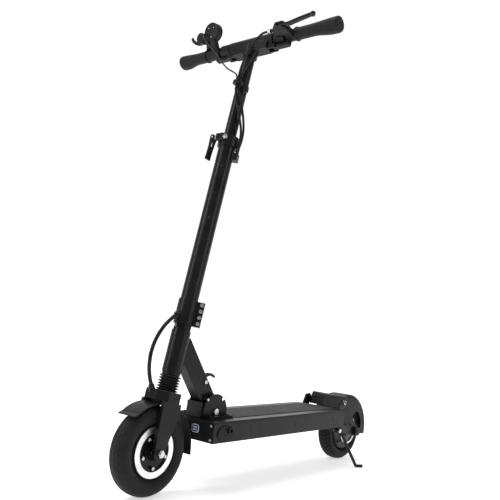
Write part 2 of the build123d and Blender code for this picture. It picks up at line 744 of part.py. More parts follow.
TRIGGER_HALF = 4.0
with BuildPart() as fold_trigger:
    rod(side(TRIGGER_HALF), 7.0, 2 * TRIGGER_HALF, [TRIGGER_POINT])
    with BuildSketch(side(TRIGGER_HALF)):
        with BuildLine():
            hook_top = ThreePointArc(
                (PIVOT_X + 29, PIVOT_Z + 76), (PIVOT_X + 2, PIVOT_Z + 90), (PIVOT_X - 17, PIVOT_Z + 80)
            )
            hook_low = ThreePointArc(
                (PIVOT_X + 25, PIVOT_Z + 66), (PIVOT_X + 4, PIVOT_Z + 83), (PIVOT_X - 14, PIVOT_Z + 78)
            )
            Line(hook_top @ 0, hook_low @ 0)
            Line(hook_top @ 1, hook_low @ 1)
        make_face()
    extrude(amount=2 * TRIGGER_HALF)
    # Its pin turns in the neck's walls and ends in a head on each side.
    rod(side(NECK_HALF + GAP), TRIGGER_PIN_R, 2 * (NECK_HALF + GAP), [TRIGGER_POINT])
    rod(side(NECK_HALF + GAP + 2.2), 5.2, 2.2, [TRIGGER_POINT])
    rod(side(-NECK_HALF - GAP), 5.2, 2.2, [TRIGGER_POINT])
save(fold_trigger, "fold_trigger")

with BuildPart() as lock_bar:
    rod(side(LOCK_PIN_END), LOCK_PIN_R, 2 * LOCK_PIN_END, [lock_point(LOCK_ANGLE, LOCK_R)])
    with BuildSketch(side(TRIGGER_HALF)):
        with Locations(lock_point(LOCK_ANGLE, LOCK_R + 6.5)):
            Rectangle(20.0, 11.6, rotation=LOCK_ANGLE)
    extrude(amount=2 * TRIGGER_HALF)
save(lock_bar, "lock_bar")

# ==== steering column: what turns in the head tube ====
COLLAR_LOW = 173.0
STEERER_TOP = 380.0
COLUMN_SEAT = 384.0
with BuildPart() as steerer:
    ring(steer_at(COLLAR_LOW), STEERER_R, STANCHION_R + RUN, STEERER_TOP - COLLAR_LOW)
    ring(steer_at(COLLAR_LOW), 21.5, STANCHION_R + RUN, HEAD_TUBE_LOW - GAP - COLLAR_LOW)
save(steerer, "steerer")

LOCK_RING_R = 21.0
with BuildPart() as headset_rings:
    ring(steer_at(HEAD_TUBE_TOP + GAP), LOCK_RING_R, STEERER_R + RUN, 6.0)
    hexes(steer_at(HEAD_TUBE_TOP + GAP + 6.4), LOCK_RING_R, 8.2)
    rod(steer_at(HEAD_TUBE_TOP + GAP + 6.4), STEERER_R + RUN, 8.2, mode=Mode.SUBTRACT)
save(headset_rings, "headset_rings")

EAR_ANGLE = 130.0
EAR_REACH = 40.0
EAR_T = 7.0
EAR_SPLIT = 2.0
ear_bolt_heights = [SLEEVE_LOW + 7.5 + 15 * step for step in range(4)]
EAR_FRAME = Plane(
    origin=STEER.origin,
    x_dir=STEER.x_dir * cos(radians(EAR_ANGLE)) + STEER.y_dir * sin(radians(EAR_ANGLE)),
    z_dir=STEER.x_dir * sin(radians(EAR_ANGLE)) - STEER.y_dir * cos(radians(EAR_ANGLE)),
)
ear_bolt_points = [(EAR_REACH - 6.0, s) for s in ear_bolt_heights]
SLEEVE_H = SLEEVE_TOP - SLEEVE_LOW
CABLE_TOP = (30.0, 310.0)
CABLE_TOP_RUN = (12.0, -13.0)
CABLE_FOOT = (52.0, 141.0)
CABLE_FOOT_RUN = (-11.0, -16.0)
GLAND_R = 7.0


def steer_point(point):
    return STEER.from_local_coords(Vector(point[0], 0, point[1]))


def steer_run(run):
    return STEER.x_dir * run[0] + STEER.z_dir * run[1]


def gland(end, run, depth):
    """The boss a cable leaves: its face is square to the cable's first run."""
    with BuildSketch(Plane(origin=steer_point(end), z_dir=steer_run(run))) as face:
        Circle(GLAND_R)
    extrude(face.sketch, amount=depth)


with BuildPart() as clamp_sleeve:
    rod(steer_at(SLEEVE_LOW), SLEEVE_R, SLEEVE_H)
    gland(CABLE_TOP, (-CABLE_TOP_RUN[0], -CABLE_TOP_RUN[1]), 12.0)
    with BuildSketch(EAR_FRAME.offset(-EAR_T - EAR_SPLIT / 2)):
        with Locations(((EAR_REACH + 18) / 2, (SLEEVE_LOW + SLEEVE_TOP) / 2)):
            Rectangle(EAR_REACH - 18, SLEEVE_H)
    extrude(amount=2 * EAR_T + EAR_SPLIT)
    rod(steer_at(SLEEVE_LOW), STEERER_R + RUN, SLEEVE_H, mode=Mode.SUBTRACT)
    with BuildSketch(EAR_FRAME.offset(-EAR_SPLIT / 2)):
        with Locations((EAR_REACH / 2 + 6, (SLEEVE_LOW + SLEEVE_TOP) / 2)):
            Rectangle(EAR_REACH, SLEEVE_H)
    extrude(amount=EAR_SPLIT, mode=Mode.SUBTRACT)
    rod(EAR_FRAME.offset(-20), 2.5 + 2 * RUN, 40.0, ear_bolt_points, Mode.SUBTRACT)
save(clamp_sleeve, "clamp_sleeve")

COLUMN_BORE_R = INNER_COLUMN_R + RUN
PORT_S = 742.0
PORT_H = 20.0
PORT_ANGLE = 113.5
with BuildPart() as outer_column:
    rod(steer_at(SLEEVE_TOP), OUTER_COLUMN_R, OUTER_COLUMN_TOP - SLEEVE_TOP)
    # The hood through which the cables enter the column.
    with BuildSketch(steer_at(PORT_S - PORT_H)) as hood:
        with PolarLocations(28.0, 1, start_angle=PORT_ANGLE):
            RectangleRounded(15.0, 20.0, 3.0)
    extrude(hood.sketch, amount=PORT_H)
    rod(steer_at(SLEEVE_TOP), STEERER_R + RUN, COLUMN_SEAT - SLEEVE_TOP, mode=Mode.SUBTRACT)
    rod(steer_at(COLUMN_SEAT), COLUMN_BORE_R, OUTER_COLUMN_TOP - COLUMN_SEAT, mode=Mode.SUBTRACT)
save(outer_column, "outer_column")

# ---- quick release around the column's top ----
QR_R = 26.0
QR_LOW = 757.0
QR_TOP = 785.0
QR_S = 773.0
QR_X = 31.0
QR_EAR_IN = 2.0
QR_EAR_OUT = 11.0
with BuildPart() as seat_collar:
    rod(steer_at(QR_LOW), QR_R, QR_TOP - QR_LOW)
    slab(
        steer_side(QR_EAR_OUT),
        [(15, QR_LOW + 5), (QR_X + 7, QR_LOW + 9), (QR_X + 7, QR_TOP - 4), (15, QR_TOP)],
        2 * QR_EAR_OUT,
    )
    slab(
        steer_side(QR_EAR_IN),
        [(10, QR_LOW - 1), (QR_X + 9, QR_LOW - 1), (QR_X + 9, QR_TOP + 1), (10, QR_TOP + 1)],
        2 * QR_EAR_IN,
        Mode.SUBTRACT,
    )
    rod(steer_at(QR_LOW), OUTER_COLUMN_R + RUN, OUTER_COLUMN_TOP - QR_LOW, mode=Mode.SUBTRACT)
    rod(steer_at(OUTER_COLUMN_TOP), INNER_COLUMN_R + 1.0, QR_TOP - OUTER_COLUMN_TOP, mode=Mode.SUBTRACT)
    rod(steer_side(QR_EAR_OUT), 3.0 + 2 * RUN, 2 * QR_EAR_OUT, [(QR_X, QR_S)], Mode.SUBTRACT)
save(seat_collar, "seat_collar")

CAM_Y = -23.0
CAM_PIN_R = 3.0
with BuildPart() as column_bolts:
    rod(EAR_FRAME.offset(-EAR_T), 2.5, 2 * EAR_T + EAR_SPLIT / 2, ear_bolt_points)
    rod(EAR_FRAME.offset(EAR_T + EAR_SPLIT / 2), 4.4, 4.0, ear_bolt_points)
    # The quick release's skewer, with its nut and its cam pin.
    rod(steer_side(QR_EAR_OUT + 9), 3.0, QR_EAR_OUT + 9 - CAM_Y + 3, [(QR_X, QR_S)])
    rod(steer_side(QR_EAR_OUT + 7), 6.0, 7.0, [(QR_X, QR_S)])
    rod(steer_side(-QR_EAR_OUT), 6.0, 4.0, [(QR_X, QR_S)])
    rod(
        Plane(origin=STEER.from_local_coords(Vector(QR_X - 7.5, CAM_Y, QR_S)), z_dir=STEER.x_dir),
        CAM_PIN_R,
        15.0,
    )
save(column_bolts, "column_bolts")

LEVER_W = 15.0
lever_frame = Plane(
    origin=STEER.from_local_coords(Vector(QR_X + LEVER_W / 2, 0, 0)), x_dir=(0, 1, 0), z_dir=STEER.x_dir
)
with BuildPart() as qr_lever:
    rod(lever_frame.offset(-LEVER_W), 7.0, LEVER_W, [(CAM_Y, QR_S)])
    with BuildSketch(lever_frame.offset(-LEVER_W)):
        with BuildLine():
            outer_curve = Spline((CAM_Y - 7, QR_S), (CAM_Y - 5.5, QR_S - 24), (CAM_Y - 8, QR_S - 60))
            inner_curve = Spline((CAM_Y + 4, QR_S - 5), (CAM_Y + 1, QR_S - 24), (CAM_Y - 1.5, QR_S - 61))
            Line(outer_curve @ 0, inner_curve @ 0)
            Line(outer_curve @ 1, inner_curve @ 1)
        make_face()
    extrude(amount=LEVER_W)
    rod(lever_frame.offset(-LEVER_W), CAM_PIN_R + RUN, LEVER_W, [(CAM_Y, QR_S)], Mode.SUBTRACT)
    rod(steer_side(0), 3.0 + 1.0, 50.0, [(QR_X, QR_S)], Mode.SUBTRACT)
    slab(
        steer_side(CAM_Y + 9),
        [(QR_X - 4, QR_S - 26), (QR_X + 4, QR_S - 26), (QR_X + 4, QR_S + 9), (QR_X - 4, QR_S + 9)],
        18.0,
        Mode.SUBTRACT,
    )
save(qr_lever, "qr_lever")

# ==== front fork, which slides in the steerer ====
CROWN_REAR = -20.0
CROWN_NOSE = 46.0
LEG_IN = 29.2
LEG_T = 10.0
LEG_OUT = LEG_IN + LEG_T
FRONT_SHAFT_R = 6.0
FRONT_AXLE_LOCAL = (FORK_OFFSET, 0)
DROPOUT_R = 17.0
STANCHION_L = 110.0
with BuildPart() as fork_crown:
    with BuildSketch(steer_at(CROWN_LOW)):
        with Locations(((CROWN_REAR + CROWN_NOSE) / 2, 0)):
            crown_outline = Rectangle(CROWN_NOSE - CROWN_REAR, 2 * LEG_OUT)
        chamfer(crown_outline.vertices().group_by(Axis.X)[-1], 20.0)
        chamfer(crown_outline.vertices().group_by(Axis.X)[0], 9.0)
    extrude(amount=CROWN_TOP - CROWN_LOW)
    chamfer(fork_crown.edges().group_by(Axis(STEER.origin, STEER.z_dir))[-1], 2.0)
    gland(CABLE_FOOT, CABLE_FOOT_RUN, 18.0)
    # The stanchion that slides in the steerer.
    rod(steer_at(CROWN_TOP), STANCHION_R, STANCHION_L)
save(fork_crown, "fork_crown")

def fork_leg(flip):
    """A leg from the crown to the axle's end."""
    outer_y = max(flip * LEG_IN, flip * LEG_OUT)
    with BuildSketch(steer_side(outer_y)) as profile:
        with BuildLine():
            Polyline(
                (-18, CROWN_LOW),
                (34, CROWN_LOW),
                (35, 76),
                (FORK_OFFSET + DROPOUT_R, 6),
                (FORK_OFFSET - DROPOUT_R + 1, 2),
                (-7, 34),
                (-22, 86),
                close=True,
            )
        make_face()
        with Locations(FRONT_AXLE_LOCAL):
            Circle(DROPOUT_R)
            Circle(FRONT_SHAFT_R + 2 * RUN, mode=Mode.SUBTRACT)
    extrude(profile.sketch, amount=LEG_T)


with BuildPart() as fork_legs:
    fork_leg(1)
    fork_leg(-1)
save(fork_legs, "fork_legs")

FRONT_FENDER_IN = 106.5
FRONT_FENDER_OUT = 108.5
FRONT_FENDER_HALF = 28.5
LIP_ANGLE = 54.0
TAIL_ANGLE = 183.0
front_axle_side = (FRONT_X, FRONT_TYRE_R)


def fender_point(angle, reach):
    """A point at an angle and a reach from the front axle, seen from the left."""
    return (FRONT_X + reach * cos(radians(angle)), FRONT_TYRE_R + reach * sin(radians(angle)))


with BuildPart() as front_fender:
    with BuildSketch(side(FRONT_FENDER_HALF)):
        with BuildLine():
            inner = CenterArc(front_axle_side, FRONT_FENDER_IN, LIP_ANGLE, TAIL_ANGLE - LIP_ANGLE)
            outer = CenterArc(front_axle_side, FRONT_FENDER_OUT, LIP_ANGLE, TAIL_ANGLE - LIP_ANGLE)
            Polyline(inner @ 0, fender_point(LIP_ANGLE - 6, 110), fender_point(LIP_ANGLE - 5, 112), outer @ 0)
            Polyline(inner @ 1, fender_point(TAIL_ANGLE + 5, 108), fender_point(TAIL_ANGLE + 4.6, 110), outer @ 1)
        make_face()
    extrude(amount=2 * FRONT_FENDER_HALF)
    # The block that fastens it under the crown.
    slab(steer_side(14.0), [(-8, CROWN_LOW), (26, CROWN_LOW), (26, 100), (-8, 100)], 28.0)
    rod(side(14.0), FRONT_FENDER_IN, 28.0, [front_axle_side], Mode.SUBTRACT)
save(front_fender, "front_fender")

with BuildPart() as front_axle:
    rod(side(LEG_OUT + 9), FRONT_SHAFT_R, 2 * (LEG_OUT + 9), [front_axle_side])
    for flip in (1, -1):
        inner_y = flip * 24.3
        rod(side(max(inner_y, flip * LEG_IN)), 9.0, LEG_IN - 24.3, [front_axle_side])
    for flip in (1, -1):
        outer_y = max(flip * LEG_OUT, flip * (LEG_OUT + 6))
        with BuildSketch(side(outer_y)) as nut:
            with Locations(front_axle_side):
                RegularPolygon(9.0, 6)
                Circle(FRONT_SHAFT_R + 2 * RUN, mode=Mode.SUBTRACT)
        extrude(nut.sketch, amount=6.0)
save(front_axle, "front_axle")

with BuildPart() as suspension_spring:
    ring(steer_at(CROWN_TOP + STANCHION_L + GAP), 9.8, 6.0, 40.0)
save(suspension_spring, "suspension_spring")

FOLDS = 5
BELLOWS_LOW = CROWN_TOP + GAP
BELLOWS_TOP = COLLAR_LOW - GAP
fold_pitch = (BELLOWS_TOP - BELLOWS_LOW - 4) / FOLDS
bellows_outline = [(12.0, BELLOWS_LOW), (22.5, BELLOWS_LOW), (22.5, BELLOWS_LOW + 2)]
for fold in range(FOLDS):
    fold_low = BELLOWS_LOW + 2 + fold * fold_pitch
    bellows_outline.append((26.0 - 0.6 * fold, fold_low + fold_pitch / 2))
    bellows_outline.append((20.0 - 0.4 * fold, fold_low + fold_pitch))
bellows_outline += [(19.5, BELLOWS_TOP), (12.0, BELLOWS_TOP)]
with BuildPart() as fork_bellows:
    with BuildSketch(STEER_SIDE):
        with BuildLine():
            Polyline(*bellows_outline, close=True)
        make_face()
    revolve(axis=STEER_AXIS)
save(fork_bellows, "fork_bellows")

# ---- front wheel ----
BEAD_R = 57.0
RIM_HALF = 20.0
with BuildPart() as front_tyre:
    with BuildSketch(axle_section(FRONT_AXLE)):
        half = FRONT_TYRE_W / 2
        with BuildLine():
            crown_line = Line((-9, FRONT_TYRE_R), (9, FRONT_TYRE_R))
            shoulder = ThreePointArc((9, FRONT_TYRE_R), (20, FRONT_TYRE_R - 6), (half, FRONT_TYRE_R - 21))
            wall_line = ThreePointArc((half, FRONT_TYRE_R - 21), (half - 1.5, BEAD_R + 10), (19, BEAD_R))
            Line((19, BEAD_R), (-19, BEAD_R))
            ThreePointArc((-19, BEAD_R), (1.5 - half, BEAD_R + 10), (-half, FRONT_TYRE_R - 21))
            ThreePointArc((-half, FRONT_TYRE_R - 21), (-20, FRONT_TYRE_R - 6), (-9, FRONT_TYRE_R))
        make_face()
    revolve(axis=FRONT_AXLE)
save(front_tyre, "front_tyre")

RIM_R = BEAD_R - 0.1
RIM_FACE = 21.7
RIM_IN = 43.0
with BuildPart() as front_rim:
    with BuildSketch(axle_section(FRONT_AXLE)):
        with BuildLine():
            Polyline(
                (-RIM_FACE, RIM_IN),
                (-RIM_FACE, RIM_R),
                (RIM_FACE, RIM_R),
                (RIM_FACE, RIM_IN),
                (RIM_FACE - 3, RIM_IN),
                (RIM_FACE - 3, RIM_R - 5),
                (3 - RIM_FACE, RIM_R - 5),
                (3 - RIM_FACE, RIM_IN),
                close=True,
            )
        make_face()
    revolve(axis=FRONT_AXLE)
save(front_rim, "front_rim")

HUB_FACE = 16.0
BEARING_OUT_R = 13.0
with BuildPart() as front_hub:
    with BuildSketch(axle_section(FRONT_AXLE)):
        with BuildLine():
            Polyline(
                (-24, 8),
                (24, 8),
                (24, 17),
                (HUB_FACE, 20),
                (HUB_FACE, RIM_IN - 0.1),
                (RIM_FACE - 3.1, RIM_IN - 0.1),
                (RIM_FACE - 3.1, RIM_R - 5.1),
                (3.1 - RIM_FACE, RIM_R - 5.1),
                (3.1 - RIM_FACE, RIM_IN - 0.1),
                (-HUB_FACE, RIM_IN - 0.1),
                (-HUB_FACE, 20),
                (-24, 17),
                close=True,
            )
        make_face()
    revolve(axis=FRONT_AXLE)
    rod(side(24), BEARING_OUT_R + RUN, 8.0, [front_axle_side], Mode.SUBTRACT)
    rod(side(-16), BEARING_OUT_R + RUN, 8.0, [front_axle_side], Mode.SUBTRACT)
    for flip in (1, -1):
        outer_y = max(flip * HUB_FACE, flip * (HUB_FACE + 3.5))
        with BuildSketch(side(outer_y)) as heads:
            with Locations(front_axle_side):
                with PolarLocations(35.0, 5, start_angle=200):
                    Circle(4.0)
        extrude(heads.sketch, amount=3.5)
save(front_hub, "front_hub")

with BuildPart() as front_bearings:
    ring(side(24), BEARING_OUT_R, FRONT_SHAFT_R + RUN, 8.0, [front_axle_side])
    ring(side(-16), BEARING_OUT_R, FRONT_SHAFT_R + RUN, 8.0, [front_axle_side])
save(front_bearings, "front_bearings")

# ==== stem: the inner column and the handlebar's T-head ====
BAR = (-BAR_SETBACK, BAR_HEIGHT)
BAR_ORIGIN = STEER.from_local_coords(Vector(-BAR_SETBACK, 0, BAR_HEIGHT))
BAR_AXIS = Axis(BAR_ORIGIN, (0, 1, 0))
BAR_SECTION = Plane(origin=BAR_ORIGIN, x_dir=(0, 1, 0), z_dir=FORWARD)
T_HALF = 73.0
T_R = 19.0
SOCKET_LOW = 1022.0
SOCKET_TOP = 1052.0
BOX_HALF = 58.0
FOLD_Y = 76.0
FOLD_S = BAR_HEIGHT - 24.5
FOLD_PIN_R = 2.5
FOLD_EYE_R = 4.8
FOLD_EAR_IN = 6.8
FOLD_EAR_OUT = 11.0
with BuildPart() as inner_column:
    ring(steer_at(INNER_COLUMN_LOW), INNER_COLUMN_R, 13.0, SOCKET_TOP - INNER_COLUMN_LOW)
save(inner_column, "inner_column")

with BuildPart() as t_head:
    rod(steer_side(T_HALF), T_R, 2 * T_HALF, [BAR])
    rod(steer_side(FOLD_Y), 13.0, 2 * FOLD_Y, [BAR])
    slab(
        steer_side(BOX_HALF),
        [
            (BAR[0] - 15, BAR[1] - 29),
            (BAR[0] + 15, BAR[1] - 29),
            (BAR[0] + 17.5, BAR[1] - 6),
            (BAR[0] - 17.5, BAR[1] - 6),
        ],
        2 * BOX_HALF,
    )
    rod(steer_at(SOCKET_LOW), 20.5, SOCKET_TOP - SOCKET_LOW)
    for flip in (1, -1):
        for ear in (-1, 1):
            ear_low = BAR[0] + min(ear * FOLD_EAR_IN, ear * FOLD_EAR_OUT)
            ear_high = ear_low + FOLD_EAR_OUT - FOLD_EAR_IN
            slab(
                steer_side(max(flip * (BOX_HALF - 2), flip * T_HALF)),
                [(ear_low, FOLD_S - 6), (ear_high, FOLD_S - 6), (ear_high, BAR[1] - 12), (ear_low, BAR[1] - 12)],
                T_HALF - BOX_HALF + 2,
            )
            slab(
                steer_side(max(flip * T_HALF, flip * (FOLD_Y + 6))),
                [(ear_low, FOLD_S - 6), (ear_high, FOLD_S - 6), (ear_high, FOLD_S + 5), (ear_low, FOLD_S + 5)],
                FOLD_Y + 6 - T_HALF,
            )
        # The pin on which this half of the bar folds.
        rod(
            Plane(
                origin=STEER.from_local_coords(Vector(BAR[0] - FOLD_EAR_OUT, flip * FOLD_Y, FOLD_S)),
                z_dir=STEER.x_dir,
            ),
            FOLD_PIN_R,
            2 * FOLD_EAR_OUT,
        )
    rod(steer_at(SOCKET_LOW), INNER_COLUMN_R + RUN, SOCKET_TOP - SOCKET_LOW, mode=Mode.SUBTRACT)
save(t_head, "t_head")

# ==== the two folding halves of the handlebar ====
COLLAR_R = 18.0
COLLAR_IN = FOLD_Y + 0.4
COLLAR_OUT = 108.0
ARM_RING_IN = 117.6
ARM_RING_OUT = 123.6
BAR_END = BAR_HALF - 8.0
CLAMP_IN = 124.0
GRIP_LEFT_IN = 141.0
GRIP_RIGHT_IN = 164.5
GRIP_R = 16.5
GRIP_END_R = 19.0
ARM_HALF_X = 6.3


def folding_bar(flip):
    """A bar tube, and the hinge arm that runs under its collar back to the fold pin."""
    with BuildSketch(steer_side(max(flip * COLLAR_IN, flip * BAR_END))) as tube:
        with Locations(BAR):
            Circle(BAR_R)
            Circle(BAR_R - 2.5, mode=Mode.SUBTRACT)
    extrude(tube.sketch, amount=BAR_END - COLLAR_IN)
    with BuildSketch(steer_side(max(flip * ARM_RING_IN, flip * ARM_RING_OUT))) as arm_ring:
        with Locations(BAR):
            Circle(15.5)
        with BuildLine():
            Polyline(
                (BAR[0] - ARM_HALF_X, FOLD_S - 4.8),
                (BAR[0] + ARM_HALF_X, FOLD_S - 4.8),
                (BAR[0] + ARM_HALF_X, BAR[1]),
                (BAR[0] - ARM_HALF_X, BAR[1]),
                close=True,
            )
        make_face()
        with Locations(BAR):
            Circle(BAR_R - 1, mode=Mode.SUBTRACT)
    extrude(arm_ring.sketch, amount=ARM_RING_OUT - ARM_RING_IN)
    arm_frame = Plane(
        origin=STEER.from_local_coords(Vector(BAR[0] + ARM_HALF_X, 0, 0)), x_dir=(0, 1, 0), z_dir=STEER.x_dir
    )
    with BuildSketch(arm_frame.offset(-2 * ARM_HALF_X)) as arm:
        with Locations((flip * FOLD_Y, FOLD_S)):
            Circle(FOLD_EYE_R)
        with Locations((flip * (FOLD_Y + ARM_RING_OUT) / 2, FOLD_S - 0.5)):
            Rectangle(ARM_RING_OUT - FOLD_Y, 8.6)
        with Locations((flip * FOLD_Y, FOLD_S)):
            Circle(FOLD_PIN_R + RUN, mode=Mode.SUBTRACT)
    extrude(arm.sketch, amount=2 * ARM_HALF_X)


for flip, name in ((1, "left_bar"), (-1, "right_bar")):
    with BuildPart() as bar_half:
        folding_bar(flip)
    save(bar_half, name)

for flip, name in ((1, "left_collar"), (-1, "right_collar")):
    with BuildPart() as collar:
        ring(steer_side(max(flip * COLLAR_IN, flip * COLLAR_OUT)), COLLAR_R, BAR_R + RUN, COLLAR_OUT - COLLAR_IN, [BAR])
        chamfer(collar.edges().filter_by(lambda e: e.radius > COLLAR_R - 1 if e.geom_type == GeomType.CIRCLE else False), 1.2)
    save(collar, name)

for flip, name, start in ((1, "left_grip", GRIP_LEFT_IN), (-1, "right_grip", GRIP_RIGHT_IN)):
    with BuildPart() as grip:
        with BuildSketch(BAR_SECTION):
            with BuildLine():
                Polyline(
                    (flip * start, BAR_R + RUN),
                    (flip * start, GRIP_END_R),
                    (flip * (start + 3), GRIP_END_R),
                    (flip * (start + 6), GRIP_R),
                )
                Spline(
                    (flip * (start + 6), GRIP_R),
                    (flip * (start + BAR_HALF) / 2, GRIP_R + 1),
                    (flip * (BAR_HALF - 14), GRIP_END_R),
                )
                Polyline(
                    (flip * (BAR_HALF - 14), GRIP_END_R),
                    (flip * (BAR_HALF - 3), GRIP_END_R),
                    (flip * BAR_HALF, GRIP_END_R - 4),
                    (flip * BAR_HALF, 0),
                    (flip * (BAR_END + GAP), 0),
                    (flip * (BAR_END + GAP), BAR_R + RUN),
                    (flip * start, BAR_R + RUN),
                )
            make_face()
        revolve(axis=BAR_AXIS)
    save(grip, name)

# ---- brake lever on the left ----
BODY_LOW = BAR_HEIGHT - 15.0
BODY_H = 16.0
LEVER_LOW = BODY_LOW + 4.0
LEVER_H = 8.0
LEVER_PIN = (46.0, 127.0)
LEVER_PIN_R = 2.5
BARREL = (36.0, BODY_LOW + 9.0)
BARREL_IN = 80.0
BODY_IN = 100.0
CLAMP_OUT_LEFT = 140.4
with BuildPart() as brake_body:
    with BuildSketch(steer_at(BODY_LOW)):
        with BuildLine():
            Polyline(
                (0, CLAMP_IN),
                (11, CLAMP_IN),
                (17, 121),
                (27, BODY_IN),
                (44, BODY_IN),
                (54, 112),
                (54, 135),
                (44, CLAMP_OUT_LEFT),
                (0, CLAMP_OUT_LEFT),
                close=True,
            )
        make_face()
    extrude(amount=BODY_H)
    rod(steer_side(CLAMP_OUT_LEFT), 15.5, CLAMP_OUT_LEFT - CLAMP_IN, [BAR])
    rod(steer_side(CLAMP_OUT_LEFT), BAR_R + RUN, CLAMP_OUT_LEFT - CLAMP_IN, [BAR], Mode.SUBTRACT)
    with BuildSketch(steer_at(LEVER_LOW - GAP)):
        with Locations((47.5, 132)):
            Rectangle(29, 28)
    extrude(amount=LEVER_H + 2 * GAP, mode=Mode.SUBTRACT)
    rod(steer_at(BODY_LOW), LEVER_PIN_R, BODY_H, [LEVER_PIN])
    # The barrel adjuster.
    rod(steer_side(BODY_IN), 4.5, 11.0, [BARREL])
    rod(steer_side(BODY_IN - 11), 5.5, BODY_IN - 11 - BARREL_IN, [BARREL])
save(brake_body, "brake_body")

with BuildPart() as brake_lever:
    with BuildSketch(steer_at(LEVER_LOW)):
        with BuildLine():
            Polyline(
                (40.5, 127),
                (51.5, 127),
                (50, 150),
                (56, 190),
                (60, 228),
                (53, 229),
                (47.5, 192),
                (41, 152),
                close=True,
            )
        make_face()
        with Locations(LEVER_PIN):
            Circle(6.0)
        with Locations((56.5, 231)):
            Circle(6.0)
        with Locations(LEVER_PIN):
            Circle(LEVER_PIN_R + RUN, mode=Mode.SUBTRACT)
    extrude(amount=LEVER_H)
save(brake_lever, "brake_lever")

# ---- display and thumb throttle on the right ----
DISPLAY_TILT = radians(6.0)
DISPLAY_CENTRE = (20.0, -143.0, 1122.0)
DISPLAY = Plane(
    origin=STEER.from_local_coords(Vector(*DISPLAY_CENTRE)),
    x_dir=(0, 1, 0),
    z_dir=(cos(DISPLAY_TILT), 0, -sin(DISPLAY_TILT)),
)
DISPLAY_R = 26.0
DISPLAY_HALF = 11.0
SCREEN_R = 16.5
BUTTON_R = 3.4
BUTTON_AT = (0, -20.5)
POD_R = 15.0
POD_HALF = 9.0
POD_AT = (-42.0, -9.0)
THROTTLE_PIN_R = 3.0
CLAMP_OUT_RIGHT = 163.5
with BuildPart() as display_housing:
    rod(DISPLAY.offset(-DISPLAY_HALF), DISPLAY_R, 2 * DISPLAY_HALF)
    fillet(display_housing.edges().filter_by(GeomType.CIRCLE), 2.5)
    rod(DISPLAY.offset(-DISPLAY_HALF), BUTTON_R + GAP, 3.5, [BUTTON_AT], Mode.SUBTRACT)
    rod(DISPLAY.offset(-DISPLAY_HALF), SCREEN_R + GAP, 1.0, [(0, 2)], Mode.SUBTRACT)
save(display_housing, "display_housing")

with BuildPart() as mode_button:
    rod(DISPLAY.offset(-DISPLAY_HALF - 1.8), BUTTON_R, 3.4, [BUTTON_AT])
save(mode_button, "mode_button")

with BuildPart() as throttle_housing:
    rod(steer_side(-CLAMP_IN), 15.5, CLAMP_OUT_RIGHT - CLAMP_IN, [BAR])
    slab(
        steer_side(-132),
        [(-20, BAR_HEIGHT + 4), (4, BAR_HEIGHT + 8), (30, 1104), (14, 1112)],
        16.0,
    )
    slab(
        steer_side(-154),
        [(-18, BAR_HEIGHT + 6), (2, BAR_HEIGHT + 10), (26, 1098), (16, 1112)],
        9.5,
    )
    rod(DISPLAY.offset(-POD_HALF), POD_R, 2 * POD_HALF, [POD_AT])
    with BuildSketch(DISPLAY.offset(-6)) as bridge:
        with BuildLine():
            Polyline((-11, -46), (-20.3, -46), (-20.3, -33), (-46, -19), (-40, -2), (-27, 4), (-11, -22), close=True)
        make_face()
    extrude(bridge.sketch, amount=12.0)
    rod(DISPLAY.offset(-2 * DISPLAY_HALF), DISPLAY_R + RUN, 4 * DISPLAY_HALF, mode=Mode.SUBTRACT)
    rod(steer_side(-CLAMP_IN), BAR_R + RUN, CLAMP_OUT_RIGHT - CLAMP_IN, [BAR], Mode.SUBTRACT)
    rod(DISPLAY.offset(-POD_HALF), THROTTLE_PIN_R + RUN, 12.0, [POD_AT], Mode.SUBTRACT)
save(throttle_housing, "throttle_housing")

THROTTLE_T = 6.0
with BuildPart() as throttle_lever:
    with BuildSketch(DISPLAY.offset(-POD_HALF - GAP - THROTTLE_T)):
        with Locations(POD_AT):
            Circle(10.0)
        with BuildLine():
            blade_low = ThreePointArc((-46, -18), (-72, -19), (-97, 3))
            blade_high = ThreePointArc((-46, -1), (-72, -8), (-93, 8))
            Line(blade_low @ 0, blade_high @ 0)
            Line(blade_low @ 1, blade_high @ 1)
        make_face()
    extrude(amount=THROTTLE_T)
    rod(DISPLAY.offset(-POD_HALF - GAP - THROTTLE_T), THROTTLE_PIN_R, THROTTLE_T + 11.0, [POD_AT])
save(throttle_lever, "throttle_lever")

# ==== cables held by the scooter ====
TIE_LOW = 925.0
TIE_H = 10.0
BRAKE_CABLE_R = 3.0
SWITCH_CABLE_R = 2.5
DISPLAY_CABLE_R = 2.0
COLUMN_CABLE_R = 3.0
FRONT_CABLE_R = 4.5
BRAKE_POINTS = [
    (36, BARREL_IN, BARREL[1]),
    (36, 62, BARREL[1]),
    (37, 45, 1043),
    (38.5, 32, 1018),
    (38, 22, 991),
    (35, 14.5, 966),
    (32, 11, 950),
    (32, 11, TIE_LOW + TIE_H),
]
SWITCH_POINTS = [
    (29.6, BODY_IN, 1053.6),
    (29.6, 82, 1053.6),
    (29, 66, 1042),
    (28.5, 52, 1021),
    (28, 39, 998),
    (27, 26, 973),
    (26, 13.5, 952),
    (26, 13.5, TIE_LOW + TIE_H),
]
DISPLAY_POINTS = [
    (28.036, -157, 1111),
    (39.47, -157, 1107.35),
    (46, -153, 1098.5),
    (45.5, -145, 1086),
    (41, -131, 1070),
    (36.5, -114, 1053),
    (32.5, -97, 1035),
    (29.5, -80, 1017),
    (28, -63, 1000),
    (27.8, -46, 984),
    (28.5, -29.5, 973),
    (29.5, -14, 964),
    (30, -1, 955),
    (30, 3, 946),
    (30, 3, TIE_LOW + TIE_H),
]
